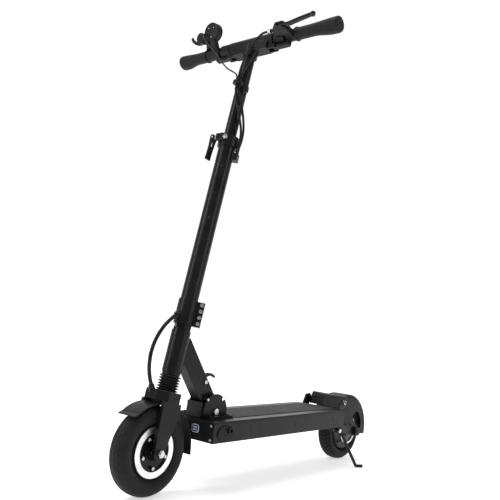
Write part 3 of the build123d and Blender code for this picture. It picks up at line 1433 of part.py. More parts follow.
COLUMN_A_POINTS = [
    (-8.4, 29.3, PORT_S),
    (-8.4, 29.3, 760),
    (-6, 33, 783),
    (1, 33.5, 808),
    (12, 29.5, 834),
    (22.5, 24, 861),
    (30, 16, 890),
    (32, 11, 911),
    (32, 11, TIE_LOW),
]
COLUMN_B_POINTS = [
    (-15.7, 26.1, PORT_S),
    (-15.7, 26.1, 761),
    (-14.8, 31, 785),
    (-8.5, 33.8, 811),
    (2.5, 33, 839),
    (14, 29, 867),
    (22, 21, 894),
    (26, 13.5, 913),
    (26, 13.5, TIE_LOW),
]
FRONT_POINTS = [
    (CABLE_TOP[0], 0, CABLE_TOP[1]),
    (42, 0, 297),
    (57, 0, 278),
    (69, 0, 254),
    (76, 0, 228),
    (77, 0, 202),
    (72, 0, 178),
    (63, 0, 157),
    (CABLE_FOOT[0], 0, CABLE_FOOT[1]),
]


def cable(route_points, radius):
    """A round cable along its route: straight runs joined by arcs as large as the runs allow."""
    points = [STEER.from_local_coords(Vector(*point)) for point in route_points]
    runs = [after - before for before, after in zip(points, points[1:])]
    radii = []
    for before, after in zip(runs, runs[1:]):
        turn = radians(before.get_angle(after))
        radii.append(0.45 * min(before.length, after.length) / tan(turn / 2))
    with BuildLine() as route:
        FilletPolyline(*points, radius=radii)
    with BuildSketch(Plane(origin=points[0], z_dir=runs[0])) as section:
        Circle(radius)
    sweep(section.sketch, path=route.line)
    length = sum(edge.length for edge in route.edges())
    print("cable length", round(length), "radii", [round(r) for r in radii])
    return length * pi * radius**2


def check_volume(piece, expected):
    share = piece.part.volume / expected
    print("  volume over section times length", round(share, 4))


with BuildPart() as brake_cables:
    expected_volume = cable(BRAKE_POINTS, BRAKE_CABLE_R) + cable(SWITCH_POINTS, SWITCH_CABLE_R)
check_volume(brake_cables, expected_volume)
save(brake_cables, "brake_cables")

with BuildPart() as display_cable:
    expected_volume = cable(DISPLAY_POINTS, DISPLAY_CABLE_R)
check_volume(display_cable, expected_volume)
save(display_cable, "display_cable")

with BuildPart() as column_cables:
    expected_volume = cable(COLUMN_A_POINTS, COLUMN_CABLE_R) + cable(COLUMN_B_POINTS, COLUMN_CABLE_R)
check_volume(column_cables, expected_volume)
save(column_cables, "column_cables")

with BuildPart() as front_cable:
    expected_volume = cable(FRONT_POINTS, FRONT_CABLE_R)
check_volume(front_cable, expected_volume)
save(front_cable, "front_cable")

# A clip on the inner column that the cables are tied to.
with BuildPart() as cable_clip:
    rod(steer_at(TIE_LOW), INNER_COLUMN_R + 2.5, TIE_H)
    with BuildSketch(steer_at(TIE_LOW)) as block:
        with BuildLine():
            Polyline((8, -3), (34, -3), (36.5, 0), (36.5, 15), (30, 18.5), (22, 18.5), (8, 12), close=True)
        make_face()
    extrude(block.sketch, amount=TIE_H)
    rod(steer_at(TIE_LOW), INNER_COLUMN_R + RUN, TIE_H, mode=Mode.SUBTRACT)
save(cable_clip, "cable_clip")
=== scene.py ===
import json
import math

import bmesh
import bpy
from mathutils import Matrix, Vector


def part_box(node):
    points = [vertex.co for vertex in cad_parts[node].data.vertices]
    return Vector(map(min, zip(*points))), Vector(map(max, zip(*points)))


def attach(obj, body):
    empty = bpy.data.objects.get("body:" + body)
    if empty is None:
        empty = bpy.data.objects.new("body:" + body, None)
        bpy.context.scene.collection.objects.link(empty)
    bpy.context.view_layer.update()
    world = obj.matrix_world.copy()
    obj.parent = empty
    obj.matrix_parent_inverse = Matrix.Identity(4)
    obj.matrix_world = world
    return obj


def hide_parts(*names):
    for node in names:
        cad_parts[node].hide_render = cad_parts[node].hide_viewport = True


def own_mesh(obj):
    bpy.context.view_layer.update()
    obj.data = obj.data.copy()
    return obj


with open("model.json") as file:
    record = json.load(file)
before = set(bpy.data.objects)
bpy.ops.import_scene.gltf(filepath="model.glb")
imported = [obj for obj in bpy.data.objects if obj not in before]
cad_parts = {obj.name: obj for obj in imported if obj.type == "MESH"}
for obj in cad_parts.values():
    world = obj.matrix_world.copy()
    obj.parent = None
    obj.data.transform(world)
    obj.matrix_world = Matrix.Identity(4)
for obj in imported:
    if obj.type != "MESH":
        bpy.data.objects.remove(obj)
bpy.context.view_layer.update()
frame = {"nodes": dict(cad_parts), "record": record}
nodes = frame["nodes"]
scene = bpy.context.scene

# ---- the steering axis, from which everything above the fork is placed ----
STEER_ORIGIN = Vector((0.396739, 0.0, 0.097668))
FORWARD = Vector((0.97922, 0.0, 0.20279))
UPWARD = Vector((-0.20279, 0.0, 0.97922))
SIDE = Vector((0.0, 1.0, 0.0))


def steer(x, y, s):
    """A point given in mm from the steering axis: forward, left and up along the axis."""
    return STEER_ORIGIN + (FORWARD * x + SIDE * y + UPWARD * s) / 1000


# ================= materials =================
DULL = 0.17  # how strongly the black coats and rubbers mirror the room
EDGE_RADIUS = 0.0009


def new_material(name):
    material = bpy.data.materials.new(name)
    material.use_nodes = True
    tree = material.node_tree
    shader = tree.nodes["Principled BSDF"]
    return material, tree, shader


def link(tree, a, out, b, into):
    tree.links.new(a.outputs[out], b.inputs[into])


def coords(tree, scale=(1.0, 1.0, 1.0)):
    """Object coordinates, stretched by the scale."""
    where = tree.nodes.new("ShaderNodeTexCoord")
    mapping = tree.nodes.new("ShaderNodeMapping")
    mapping.inputs["Scale"].default_value = scale
    link(tree, where, "Object", mapping, "Vector")
    return mapping


def noise(tree, at, scale, detail=3.0, rough=0.55):
    node = tree.nodes.new("ShaderNodeTexNoise")
    node.inputs["Scale"].default_value = scale
    node.inputs["Detail"].default_value = detail
    node.inputs["Roughness"].default_value = rough
    link(tree, at, "Vector", node, "Vector")
    return node


def ramp(tree, source, out, low, high, low_at=0.35, high_at=0.65):
    node = tree.nodes.new("ShaderNodeValToRGB")
    node.color_ramp.elements[0].position = low_at
    node.color_ramp.elements[1].position = high_at
    node.color_ramp.elements[0].color = (*low, 1)
    node.color_ramp.elements[1].color = (*high, 1)
    link(tree, source, out, node, "Fac")
    return node


def spread(tree, source, out, low, high):
    node = tree.nodes.new("ShaderNodeMapRange")
    node.inputs["From Min"].default_value = 0.3
    node.inputs["From Max"].default_value = 0.7
    node.inputs["To Min"].default_value = low
    node.inputs["To Max"].default_value = high
    link(tree, source, out, node, "Value")
    return node


def bump(tree, shader, source, out, strength, distance, normal=None):
    node = tree.nodes.new("ShaderNodeBump")
    node.inputs["Strength"].default_value = strength
    node.inputs["Distance"].default_value = distance
    link(tree, source, out, node, "Height")
    if normal is not None:
        link(tree, normal, "Normal", node, "Normal")
    link(tree, node, "Normal", shader, "Normal")
    return node


def edge_wear(tree, radius):
    """A rounded edge normal, and how far it turns from the face: bright along the edges."""
    rounded = tree.nodes.new("ShaderNodeBevel")
    rounded.samples = 4
    rounded.inputs["Radius"].default_value = radius
    geometry = tree.nodes.new("ShaderNodeNewGeometry")
    dot = tree.nodes.new("ShaderNodeVectorMath")
    dot.operation = "DOT_PRODUCT"
    link(tree, rounded, "Normal", dot, 0)
    link(tree, geometry, "Normal", dot, 1)
    wear = tree.nodes.new("ShaderNodeMapRange")
    wear.inputs["From Min"].default_value = 0.97
    wear.inputs["From Max"].default_value = 0.82
    wear.inputs["To Min"].default_value = 0.0
    wear.inputs["To Max"].default_value = 1.0
    link(tree, dot, "Value", wear, "Value")
    return rounded, wear


def coated(name, low, high, rough, grain, grain_depth, strength, worn=(0.05, 0.05, 0.052)):
    """Powder coat, anodising or moulded plastic: mottled colour, fine grain, edges rubbed lighter."""
    material, tree, shader = new_material(name)
    at = coords(tree)
    mottle = noise(tree, at, 22.0, 4.0)
    colour = ramp(tree, mottle, "Fac", low, high)
    rounded, wear = edge_wear(tree, EDGE_RADIUS)
    scuff = noise(tree, at, 60.0, 4.0, 0.6)
    share = tree.nodes.new("ShaderNodeMath")
    share.operation = "MULTIPLY"
    link(tree, wear, "Result", share, 0)
    link(tree, scuff, "Fac", share, 1)
    mix = tree.nodes.new("ShaderNodeMix")
    mix.data_type = "RGBA"
    link(tree, share, "Value", mix, "Factor")
    tree.links.new(colour.outputs["Color"], mix.inputs["A"])
    mix.inputs["B"].default_value = (*worn, 1)
    tree.links.new(mix.outputs["Result"], shader.inputs["Base Color"])
    smear = noise(tree, at, 30.0, 3.0, 0.5)
    roughness = spread(tree, smear, "Fac", *rough)
    link(tree, roughness, "Result", shader, "Roughness")
    shader.inputs["Specular IOR Level"].default_value = DULL
    grains = noise(tree, at, grain, 2.0)
    bump(tree, shader, grains, "Fac", strength, grain_depth, rounded)
    return material


def metal(name, colour, rough=(0.22, 0.38), stretch=(40.0, 900.0, 900.0), strength=0.12):
    """Bare metal with fine marks along one direction and smudged gloss."""
    material, tree, shader = new_material(name)
    at = coords(tree, stretch)
    marks = noise(tree, at, 1.0, 5.0, 0.6)
    dark = tuple(c * 0.72 for c in colour)
    tint = ramp(tree, marks, "Fac", dark, colour, 0.3, 0.62)
    link(tree, tint, "Color", shader, "Base Color")
    plain = coords(tree)
    smudge = noise(tree, plain, 120.0, 4.0)
    roughness = spread(tree, smudge, "Fac", *rough)
    link(tree, roughness, "Result", shader, "Roughness")
    shader.inputs["Metallic"].default_value = 1.0
    rounded = tree.nodes.new("ShaderNodeBevel")
    rounded.samples = 4
    rounded.inputs["Radius"].default_value = 0.0005
    bump(tree, shader, marks, "Fac", strength, 0.00008, rounded)
    return material


def rubber(name, low, high, rough, grain, strength, sheen):
    """Rubber or cable sheath: dusty colour, uneven gloss and a fine grain."""
    material, tree, shader = new_material(name)
    at = coords(tree)
    dust = noise(tree, at, 45.0, 6.0, 0.65)
    colour = ramp(tree, dust, "Fac", low, high, 0.4, 0.75)
    link(tree, colour, "Color", shader, "Base Color")
    roughness = spread(tree, dust, "Fac", *rough)
    link(tree, roughness, "Result", shader, "Roughness")
    shader.inputs["Specular IOR Level"].default_value = DULL
    shader.inputs["Sheen Weight"].default_value = sheen
    shader.inputs["Sheen Roughness"].default_value = 0.5
    grains = noise(tree, at, grain, 3.0)
    bump(tree, shader, grains, "Fac", strength, 0.00015)
    return material


def grit(name):
    """Grip tape: sharp mineral grains in a black binder, with a painted glint lightening the middle of each
    grain.
    """
    material, tree, shader = new_material(name)
    at = coords(tree)
    cells = tree.nodes.new("ShaderNodeTexVoronoi")
    cells.inputs["Scale"].default_value = 1300.0
    link(tree, at, "Vector", cells, "Vector")
    patches = noise(tree, at, 9.0, 5.0, 0.6)
    base = ramp(tree, patches, "Fac", (0.014, 0.014, 0.015), (0.032, 0.032, 0.034))
    # painted glint: the middle of every grain is made lighter in the colour, standing in for the light the
    # grains catch
    painted_glint = ramp(tree, cells, "Distance", (0.16, 0.16, 0.165), (0.0, 0.0, 0.0), 0.03, 0.22)
    mix = tree.nodes.new("ShaderNodeMix")
    mix.data_type = "RGBA"
    mix.blend_type = "ADD"
    mix.inputs["Factor"].default_value = 0.55
    tree.links.new(base.outputs["Color"], mix.inputs["A"])
    tree.links.new(painted_glint.outputs["Color"], mix.inputs["B"])
    tree.links.new(mix.outputs["Result"], shader.inputs["Base Color"])
    shader.inputs["Roughness"].default_value = 0.72
    bump(tree, shader, cells, "Distance", 0.9, 0.0005)
    return material


def glossy(name, colour, rough, coat=0.6):
    """A smooth enamel or glass under a clear coat, slightly smeared."""
    material, tree, shader = new_material(name)
    at = coords(tree)
    smear = noise(tree, at, 60.0, 4.0)
    tint = ramp(tree, smear, "Fac", tuple(c * 0.8 for c in colour), colour)
    link(tree, tint, "Color", shader, "Base Color")
    roughness = spread(tree, smear, "Fac", rough, rough + 0.12)
    link(tree, roughness, "Result", shader, "Roughness")
    shader.inputs["Coat Weight"].default_value = coat
    shader.inputs["Coat Roughness"].default_value = 0.08
    ripple = noise(tree, at, 300.0, 2.0)
    bump(tree, shader, ripple, "Fac", 0.05, 0.0001)
    return material


BLACK = (0.005, 0.005, 0.005)
COOL_BLACK = (0.005, 0.005, 0.0055)
COOL_BLACK_HIGH = (0.010, 0.010, 0.011)
M = {
    "black_paint": coated(
        "black powder coat",
        (0.0045, 0.0045, 0.005),
        (0.009, 0.009, 0.0095),
        (0.31, 0.36),
        1500.0,
        0.00004,
        0.08,
    ),
    "black_alloy": coated(
        "black coated alloy",
        (0.005, 0.005, 0.0053),
        (0.010, 0.010, 0.0105),
        (0.29, 0.34),
        1500.0,
        0.00004,
        0.08,
    ),
    "satin_black": coated(
        "black anodised tube", COOL_BLACK, COOL_BLACK_HIGH, (0.26, 0.30), 1800.0, 0.00002, 0.05
    ),
    "black_plastic": coated(
        "moulded black plastic",
        (0.006, 0.006, 0.0063),
        (0.012, 0.012, 0.0125),
        (0.38, 0.5),
        1100.0,
        0.00008,
        0.2,
        (0.035, 0.035, 0.036),
    ),
    "grip_rubber": rubber("soft grip rubber", BLACK, (0.010, 0.010, 0.010), (0.46, 0.6), 1300.0, 0.25, 0.03),
    "tyre_rubber": rubber(
        "tyre rubber", (0.0055, 0.0055, 0.0058), (0.014, 0.0138, 0.0135), (0.52, 0.72), 700.0, 0.25, 0.05
    ),
    "grip_tape": grit("gritty deck tape"),
    "silver": metal("brushed silver alloy", (0.78, 0.79, 0.80)),
    "steel": metal("zinc-plated steel", (0.62, 0.63, 0.65), (0.2, 0.36), (500.0, 500.0, 500.0)),
    "battery": coated(
        "battery wrap", (0.02, 0.03, 0.10), (0.03, 0.045, 0.14), (0.3, 0.42), 300.0, 0.0001, 0.1
    ),
    "cable": rubber("cable sheath", BLACK, (0.009, 0.009, 0.009), (0.32, 0.44), 1800.0, 0.12, 0.02),
}
RIM = coated("black painted wheel", COOL_BLACK, COOL_BLACK_HIGH, (0.22, 0.32), 1500.0, 0.00004, 0.1)
RIM_BRIGHT = metal("machined rim face", (0.86, 0.86, 0.86), (0.25, 0.4), (30.0, 700.0, 30.0), 0.08)
BADGE = glossy("dark blue badge", (0.025, 0.05, 0.13), 0.2)
BADGE_EDGE = glossy("pale badge edge", (0.62, 0.66, 0.72), 0.3)
SCREEN = glossy("display glass", (0.004, 0.006, 0.008), 0.05, 1.0)

slots = {entry["node"]: entry["material_slot"] for entry in frame["record"]["subparts"]}
for name, node in nodes.items():
    node.data.materials.clear()
    node.data.materials.append(M[slots[name]])


# ================= mesh helpers =================
def piece(name, verts, faces, material, body, smooth=40.0):
    """A mesh on a body, shaded smooth except over edges sharper than smooth degrees."""
    mesh = bpy.data.meshes.new(name)
    mesh.from_pydata([tuple(v) for v in verts], [], faces)
    tidy = bmesh.new()
    tidy.from_mesh(mesh)
    bmesh.ops.remove_doubles(tidy, verts=tidy.verts, dist=1e-6)
    bmesh.ops.recalc_face_normals(tidy, faces=tidy.faces)
    limit = math.radians(smooth)
    for face in tidy.faces:
        face.smooth = True
    for edge in tidy.edges:
        if len(edge.link_faces) == 2 and edge.calc_face_angle(0) > limit:
            edge.smooth = False
    tidy.to_mesh(mesh)
    tidy.free()
    mesh.materials.append(material)
    obj = bpy.data.objects.new(name, mesh)
    scene.collection.objects.link(obj)
    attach(obj, body)
    return obj


def skin(levels, around):
    """Quads between each ring of points and the next, the rings lying one after another."""
    faces = []
    for level in range(levels - 1):
        for i in range(around):
            a = level * around + i
            b = level * around + (i + 1) % around
            faces.append((a, b, b + around, a + around))
    return faces


def basis(axis, first):
    """Two directions square to the axis, the first nearest to the one given."""
    w = Vector(axis).normalized()
    u = (Vector(first) - w * Vector(first).dot(w)).normalized()
    return u, w.cross(u), w


def turned(name, centre, axis, first, rows, around, material, body, shape=None, smooth=40.0):
    """A turned piece: rows are (along, radius) in mm round a closed section; shape moves a point
    in radius by its angle and its row."""
    u, v, w = basis(axis, first)
    verts, faces = [], []
    count = len(rows)
    centre = Vector(centre)
    for i in range(around):
        angle = 2 * math.pi * i / around
        for j, (along, radius) in enumerate(rows):
            r = radius
            if shape is not None:
                r = radius + shape(angle, along, radius)
            verts.append(centre + (w * along + (u * math.cos(angle) + v * math.sin(angle)) * r) / 1000)
    for i in range(around):
        for j in range(count):
            a = i * count + j
            b = i * count + (j + 1) % count
            c = ((i + 1) % around) * count + (j + 1) % count
            d = ((i + 1) % around) * count + j
            faces.append((a, b, c, d))
    return piece(name, verts, faces, material, body, smooth)


def block(name, centre, x_dir, z_dir, size, material, body, round_off=0.0, steps=4):
    """A plate with rounded corners, softened on top: size is along x_dir, across and along z_dir, in mm."""
    z = Vector(z_dir).normalized()
    x = (Vector(x_dir) - z * Vector(x_dir).dot(z)).normalized()
    y = z.cross(x)
    half_x, half_y = size[0] / 2, size[1] / 2
    r = min(round_off, half_x - 0.01, half_y - 0.01)
    outline = []
    for cx, cy, start in ((1, 1, 0), (-1, 1, 90), (-1, -1, 180), (1, -1, 270)):
        for k in range(steps + 1):
            a = math.radians(start + 90 * k / steps)
            outline.append((cx * (half_x - r) + r * math.cos(a), cy * (half_y - r) + r * math.sin(a)))
    n = len(outline)
    soft = min(0.35, size[2] / 3)
    levels = ((0.0, 1.0), (size[2] - soft, 1.0), (size[2], 1.0 - soft / max(half_x, half_y)))
    verts = []
    for h, k in levels:
        for px, py in outline:
            verts.append(Vector(centre) + (x * px * k + y * py * k + z * h) / 1000)
    faces = [tuple(reversed(range(n))), tuple(range(2 * n, 3 * n)), *skin(len(levels), n)]
    return piece(name, verts, faces, material, body, 35.0)


def screw_head(name, centre, axis, radius, height, material, body, socket=True):
    """A button head, with a hexagon socket unless told otherwise."""
    u, v, w = basis(axis, (0.3, 0.2, 1.0))
    around = 30
    rings = [(0.0, 1.0), (0.45, 1.0), (0.8, 0.86)]
    if socket:
        rings += [(1.0, 0.62), (1.0, 0.5), (0.35, 0.48), (0.3, 0.0)]
    else:
        rings += [(1.0, 0.6), (1.02, 0.0)]
    verts = []
    sixth = math.radians(60)
    for level, (height_share, radius_share) in enumerate(rings):
        for i in range(around):
            angle = 2 * math.pi * i / around
            reach = radius * radius_share
            if socket and level in (4, 5):
                reach *= math.cos(sixth / 2) / math.cos((angle % sixth) - sixth / 2)
            out = u * math.cos(angle) + v * math.sin(angle)
            verts.append(Vector(centre) + (w * height * height_share + out * reach) / 1000)
    faces = skin(len(rings), around)
    faces.append(tuple(reversed(range(around))))
    return piece(name, verts, faces, material, body, 32.0)


# ================= tyres =================
def tyre_rows(half, seat_radius, seat_half, outer):
    """The section of an air tyre: bead, side wall, shoulder and crown, as a closed loop in mm."""
    mid = (outer + seat_radius) / 2
    rise = (outer - seat_radius) / 2
    rows = []
    steps = 15
    for k in range(steps + 1):
        angle = math.radians(-62 + 152 * k / steps)
        along = half * math.cos(angle) ** 0.75 if math.cos(angle) > 0 else 0.0
        rows.append((along, mid + rise * math.sin(angle)))
    left = [(-along, radius) for along, radius in reversed(rows[:-1])]
    return [(seat_half, seat_radius), *rows, *left, (-seat_half, seat_radius)]


def dense(rows, times):
    """The section with more points between its own, so that the tread has something to move."""
    result = []
    for a, b in zip(rows, rows[1:] + rows[:1]):
        for k in range(times):
            t = k / times
            result.append((a[0] + (b[0] - a[0]) * t, a[1] + (b[1] - a[1]) * t))
    return result


def smoothstep(low, high, value):
    """0 up to low, 1 from high on, and an eased rise between them."""
    t = max(0.0, min(1.0, (value - low) / (high - low)))
    return t * t * (3 - 2 * t)


GROOVES = (-6.5, 6.5)
FRONT_BLOCKS = 36
REAR_LUGS = 44


def front_tread(angle, along, radius):
    """Long grooves on the crown, and scalloped blocks along the shoulders."""
    if radius < 80.0:
        near = smoothstep(76.0, 76.6, radius) - smoothstep(77.4, 78.0, radius)
        return 0.5 * near
    depth = 0.0
    for groove in GROOVES:
        wave = groove + 1.1 * math.sin(angle * 40)
        depth += 1.5 * (1 - smoothstep(0.5, 1.3, abs(along - wave)))
    side = abs(along)
    phase = (angle * FRONT_BLOCKS / (2 * math.pi)) % 1.0
    scallop = abs(phase - 0.5) * 2
    edge = 11.5 + 5.5 * scallop**1.6
    band = 1 - smoothstep(0.5, 1.3, abs(side - edge))
    fade = 1 - smoothstep(19.5, 21.5, side)
    return -(depth + 1.5 * band * fade)


def rear_tread(angle, along, radius):
    """Slanted lugs from the crown to the shoulder."""
    if radius < 74.0:
        return 0.0
    depth = 1.4 * (1 - smoothstep(0.6, 1.4, abs(along)))
    side = abs(along)
    turn = angle * REAR_LUGS / (2 * math.pi) + side * 0.045
    phase = turn % 1.0
    lug = 1 - smoothstep(0.10, 0.19, abs(phase - 0.5))
    span = smoothstep(3.2, 4.2, side) * (1 - smoothstep(19.0, 21.5, side))
    return -(depth + 2.3 * lug * span)


FRONT_WHEEL_AT = Vector((0.408, 0.0, 0.100))
REAR_WHEEL_AT = Vector((-0.402, 0.0, 0.093))
TREAD_STEPS = 720
WHEELS = (
    ("front_tyre", "front_wheel", FRONT_WHEEL_AT, 100.0, front_tread),
    ("rear_tyre", "rear_wheel", REAR_WHEEL_AT, 93.0, rear_tread),
)
for name, body, centre, outer, tread in WHEELS:
    low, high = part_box(name)
    half = (high.y - low.y) / 2 * 1000
    points = [v.co for v in nodes[name].data.vertices]
    reach = [math.hypot(v.x - centre.x, v.z - centre.z) * 1000 for v in points]
    seat = min(reach)
    seat_half = max(abs(v.y) for v, r in zip(points, reach) if r < seat + 0.5) * 1000
    rows = dense(tyre_rows(half, seat + 1.0, seat_half, outer), 5)
    tyre = turned(
        name + "_tread",
        centre,
        (0, 1, 0),
        (0, 0, -1),
        rows,
        TREAD_STEPS,
        M["tyre_rubber"],
        body,
        tread,
        60.0,
    )
    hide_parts(name)

# ================= fork bellows =================
offsets = [v.co - STEER_ORIGIN for v in nodes["fork_bellows"].data.vertices]
spans = [v.dot(UPWARD) * 1000 for v in offsets]
radii = [(v - UPWARD * v.dot(UPWARD)).length * 1000 for v in offsets]
low_s, high_s = min(spans), max(spans)
outer_r, inner_r = max(radii), min(radii)
FOLDS = 6
FOLD_DEPTH = 7.0
rows = []
steps = FOLDS * 10
for k in range(steps + 1):
    s = low_s + (high_s - low_s) * k / steps
    wave = 0.5 - 0.5 * math.cos(2 * math.pi * FOLDS * k / steps)
    rows.append((s, outer_r - FOLD_DEPTH + FOLD_DEPTH * wave**0.7))
rows.append((high_s, inner_r + 0.2))
rows.append((low_s, inner_r + 0.2))
bellows = turned(
    "fork_gaiter",
    STEER_ORIGIN,
    UPWARD,
    FORWARD,
    rows,
    96,
    M["grip_rubber"],
    "fork",
    smooth=70.0,
)
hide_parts("fork_bellows")
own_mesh(bellows)

# ================= finishes that differ from the record's slot =================
for name, finish in (
    ("front_hub", RIM),
    ("hub_motor", RIM),
    ("deck_screws", M["black_paint"]),
    ("rear_axle", M["black_paint"]),
    ("qr_lever", M["satin_black"]),
    ("front_rim", RIM_BRIGHT),
):
    nodes[name].data.materials[0] = finish

# ================= display, badge and small trim =================
tilt = math.radians(6.0)
DISPLAY_AXIS = Vector((math.cos(tilt), 0.0, -math.sin(tilt)))
DISPLAY_UP = Vector((math.sin(tilt), 0.0, math.cos(tilt)))
DISPLAY_CENTRE = steer(20.0, -143.0, 1122.0)
screen_at = DISPLAY_CENTRE - DISPLAY_AXIS * 0.0101 + DISPLAY_UP * 0.002
u, v, w = basis(-DISPLAY_AXIS, (0, 1, 0))
rings = ((0.0, 16.3), (0.9, 16.3), (1.1, 15.6), (0.85, 15.0), (0.85, 0.0))
around = 64
verts = []
for along, r in rings:
    for i in range(around):
        a = 2 * math.pi * i / around
        verts.append(screen_at + (w * along + (u * math.cos(a) + v * math.sin(a)) * r) / 1000)
faces = skin(len(rings), around)
faces.append(tuple(reversed(range(around))))
piece("display_glass", verts, faces, SCREEN, "right_bar")
for k, (dy, dz) in enumerate(((-9.0, 11.0), (10.0, 10.0), (0.0, -15.0))):
    at = DISPLAY_CENTRE + DISPLAY_AXIS * 0.0108 + SIDE * dy / 1000 + DISPLAY_UP * dz / 1000
    screw_head(f"display_screw_{k}", at, DISPLAY_AXIS, 1.7, 0.9, M["steel"], "right_bar")

# ---- bright bolts and nuts that the photograph shows on the black parts ----
STEEL = (M["steel"], "steel")
PLASTIC = (M["black_plastic"], "black_plastic")
HUB_BOLT_CIRCLE = 0.035
FOOTREST_BOLT = (-0.312, 0.185)  # each a pair of x and z
SWING_PIVOT = (-0.2925, 0.1075)
TRIGGER_PIN = (0.255, 0.251)
hub_low, hub_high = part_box("front_hub")
bracket_low, bracket_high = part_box("rear_brackets")
trigger_low, trigger_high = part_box("fold_trigger")


def side_head(name, xz, face, way, radius, height, finish, slot, body, socket=True):
    """A head on a face that looks to the left (way 1) or the right (way -1)."""
    at = Vector((xz[0], face, xz[1]))
    screw_head(name, at, (0, way, 0), radius, height, finish, body, socket)


for k in range(5):
    a = math.radians(200 + 72 * k)
    xz = (
        FRONT_WHEEL_AT.x + HUB_BOLT_CIRCLE * math.cos(a),
        FRONT_WHEEL_AT.z + HUB_BOLT_CIRCLE * math.sin(a),
    )
    side_head(f"hub_bolt_{k}_left", xz, hub_high.y - 0.0004, 1, 4.1, 1.2, *STEEL, "front_wheel")
    side_head(f"hub_bolt_{k}_right", xz, hub_low.y + 0.0004, -1, 4.1, 1.2, *STEEL, "front_wheel")
for label, way, bracket, trigger in (
    ("left", 1, bracket_high.y, trigger_high.y),
    ("right", -1, bracket_low.y, trigger_low.y),
):
    face = bracket - way * 0.0001
    pin = trigger - way * 0.0002
    side_head(f"footrest_bolt_{label}", FOOTREST_BOLT, face, way, 8.7, 5.0, *STEEL, "deck")
    side_head(f"pivot_cap_{label}", SWING_PIVOT, face, way, 8.6, 6.4, *PLASTIC, "deck", False)
    side_head(f"trigger_bolt_{label}", TRIGGER_PIN, pin, way, 5.3, 1.6, *STEEL, "trigger")
plate_low, plate_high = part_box("deck_end_plates")
for k, (y, z) in enumerate(((-0.080, 0.008), (0.080, 0.008), (-0.080, -0.008), (0.080, -0.008))):
    height = plate_low.z + z if z > 0 else plate_high.z + z
    at = Vector((plate_high.x + 0.0015, y, height))
    screw_head(f"plate_screw_{k}", at, (1, 0, 0), 3.4, 0.8, M["steel"], "deck")


def knurl(angle, along, radius):
    """Fine teeth round the barrel."""
    return -0.25 * (0.5 + 0.5 * math.cos(angle * 24)) if radius > 6.0 else 0.0


barrel_rows = [(80.5, 5.65), (81.2, 6.1), (88.2, 6.1), (88.9, 5.65), (88.9, 5.45), (80.5, 5.45)]
turned(
    "barrel_sleeve",
    steer(36, 0, 1060),
    (0, 1, 0),
    FORWARD,
    barrel_rows,
    120,
    M["steel"],
    "left_bar",
    knurl,
    30.0,
)
COLUMN_FACE = 21.2
for k, (angle, s) in enumerate(((60.0, 396.0), (42.0, 700.0), (42.0, 560.0))):
    a = math.radians(angle)
    out = FORWARD * math.cos(a) + SIDE * math.sin(a)
    at = steer(COLUMN_FACE * math.cos(a), COLUMN_FACE * math.sin(a), s)
    screw_head(f"column_screw_{k}", at, out, 3.6, 1.5, M["black_plastic"], "steer")

# ---- silver ring on the hub motor's covers ----
motor_low, motor_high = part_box("hub_motor")
for label, way, face in (("left", 1, motor_high.y), ("right", -1, motor_low.y)):
    out = way * face * 1000
    ring_rows = [(out - 0.4, 38.0), (out + 0.5, 38.6), (out + 0.5, 42.4), (out - 0.4, 43.0)]
    turned(
        f"motor_ring_{label}",
        REAR_WHEEL_AT,
        (0, way, 0),
        (0, 0, 1),
        ring_rows,
        120,
        RIM_BRIGHT,
        "rear_wheel",
        None,
        30.0,
    )

# ---- grips: a palm rest swells behind and below the bar towards its end ----
BAR_AT = steer(-6.0, 0.0, 1066.0)
BAR_END = 270.0
PALM_SIDE = (FORWARD * -0.85 + UPWARD * -0.53).normalized()
GRIP_STEPS = 46
RIB_PITCH = 3.6


def grip_rows(start):
    """The collar, the ribbed waist, the swelling palm rest and the end with its small hole."""
    rows = [(start, 11.2), (start, 17.6), (start + 0.8, 18.4), (start + 3.0, 18.6)]
    rows += [(start + 5.0, 17.6), (start + 6.2, 16.2)]
    for k in range(GRIP_STEPS + 1):
        along = start + 7.0 + (BAR_END - 4.0 - start - 7.0) * k / GRIP_STEPS
        t = (along - start) / (BAR_END - start)
        ribs = 0.22 * math.cos(2 * math.pi * along / RIB_PITCH) if 0.12 < t < 0.5 else 0.0
        rows.append((along, 15.9 + 2.6 * smoothstep(0.35, 0.9, t) + ribs))
    rows += [(BAR_END - 1.6, 17.2), (BAR_END - 0.4, 14.8), (BAR_END, 12.0), (BAR_END, 2.6)]
    rows += [(BAR_END - 0.8, 2.2), (BAR_END - 0.8, 0.01), (BAR_END - 7.4, 0.01), (BAR_END - 7.4, 11.2)]
    return rows


for name, body, way, start in (("left_grip", "left_bar", 1, 141.0), ("right_grip", "right_bar", -1, 164.5)):

    def palm(angle, along, radius, start=start):
        """How far the palm rest swells, most on the side towards the rider and below."""
        if radius < 14.0:
            return 0.0
        t = (along - start) / (BAR_END - start)
        lobe = max(0.0, math.cos(angle)) ** 1.6
        rise = smoothstep(0.42, 0.80, t) * (1 - 0.45 * smoothstep(0.93, 1.0, t))
        return 4.2 * lobe * rise

    grip = turned(
        name + "_sleeve",
        BAR_AT,
        (0, way, 0),
        PALM_SIDE,
        grip_rows(start),
        96,
        M["grip_rubber"],
        body,
        palm,
        50.0,
    )
    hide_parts(name)

# ---- a plain badge on the deck's front plate ----
badge_at = Vector((plate_high.x, 0.0295, 0.1465))
ACROSS = (0, 1, 0)
AHEAD = (1, 0, 0)
block("badge_edge", badge_at, ACROSS, AHEAD, (23.0, 19.0, 1.0), BADGE_EDGE, "deck", 5.0, 6)
field_at = badge_at + Vector((0.0009, 0, 0))
block("badge_field", field_at, ACROSS, AHEAD, (19.4, 15.4, 0.5), BADGE, "deck", 3.6, 6)
for k, dz in enumerate((-3.0, 3.0)):
    bar_at = badge_at + Vector((0.0013, 0, dz / 1000))
    block(f"badge_bar_{k}", bar_at, ACROSS, AHEAD, (12.0, 2.6, 0.4), BADGE_EDGE, "deck", 1.2, 4)

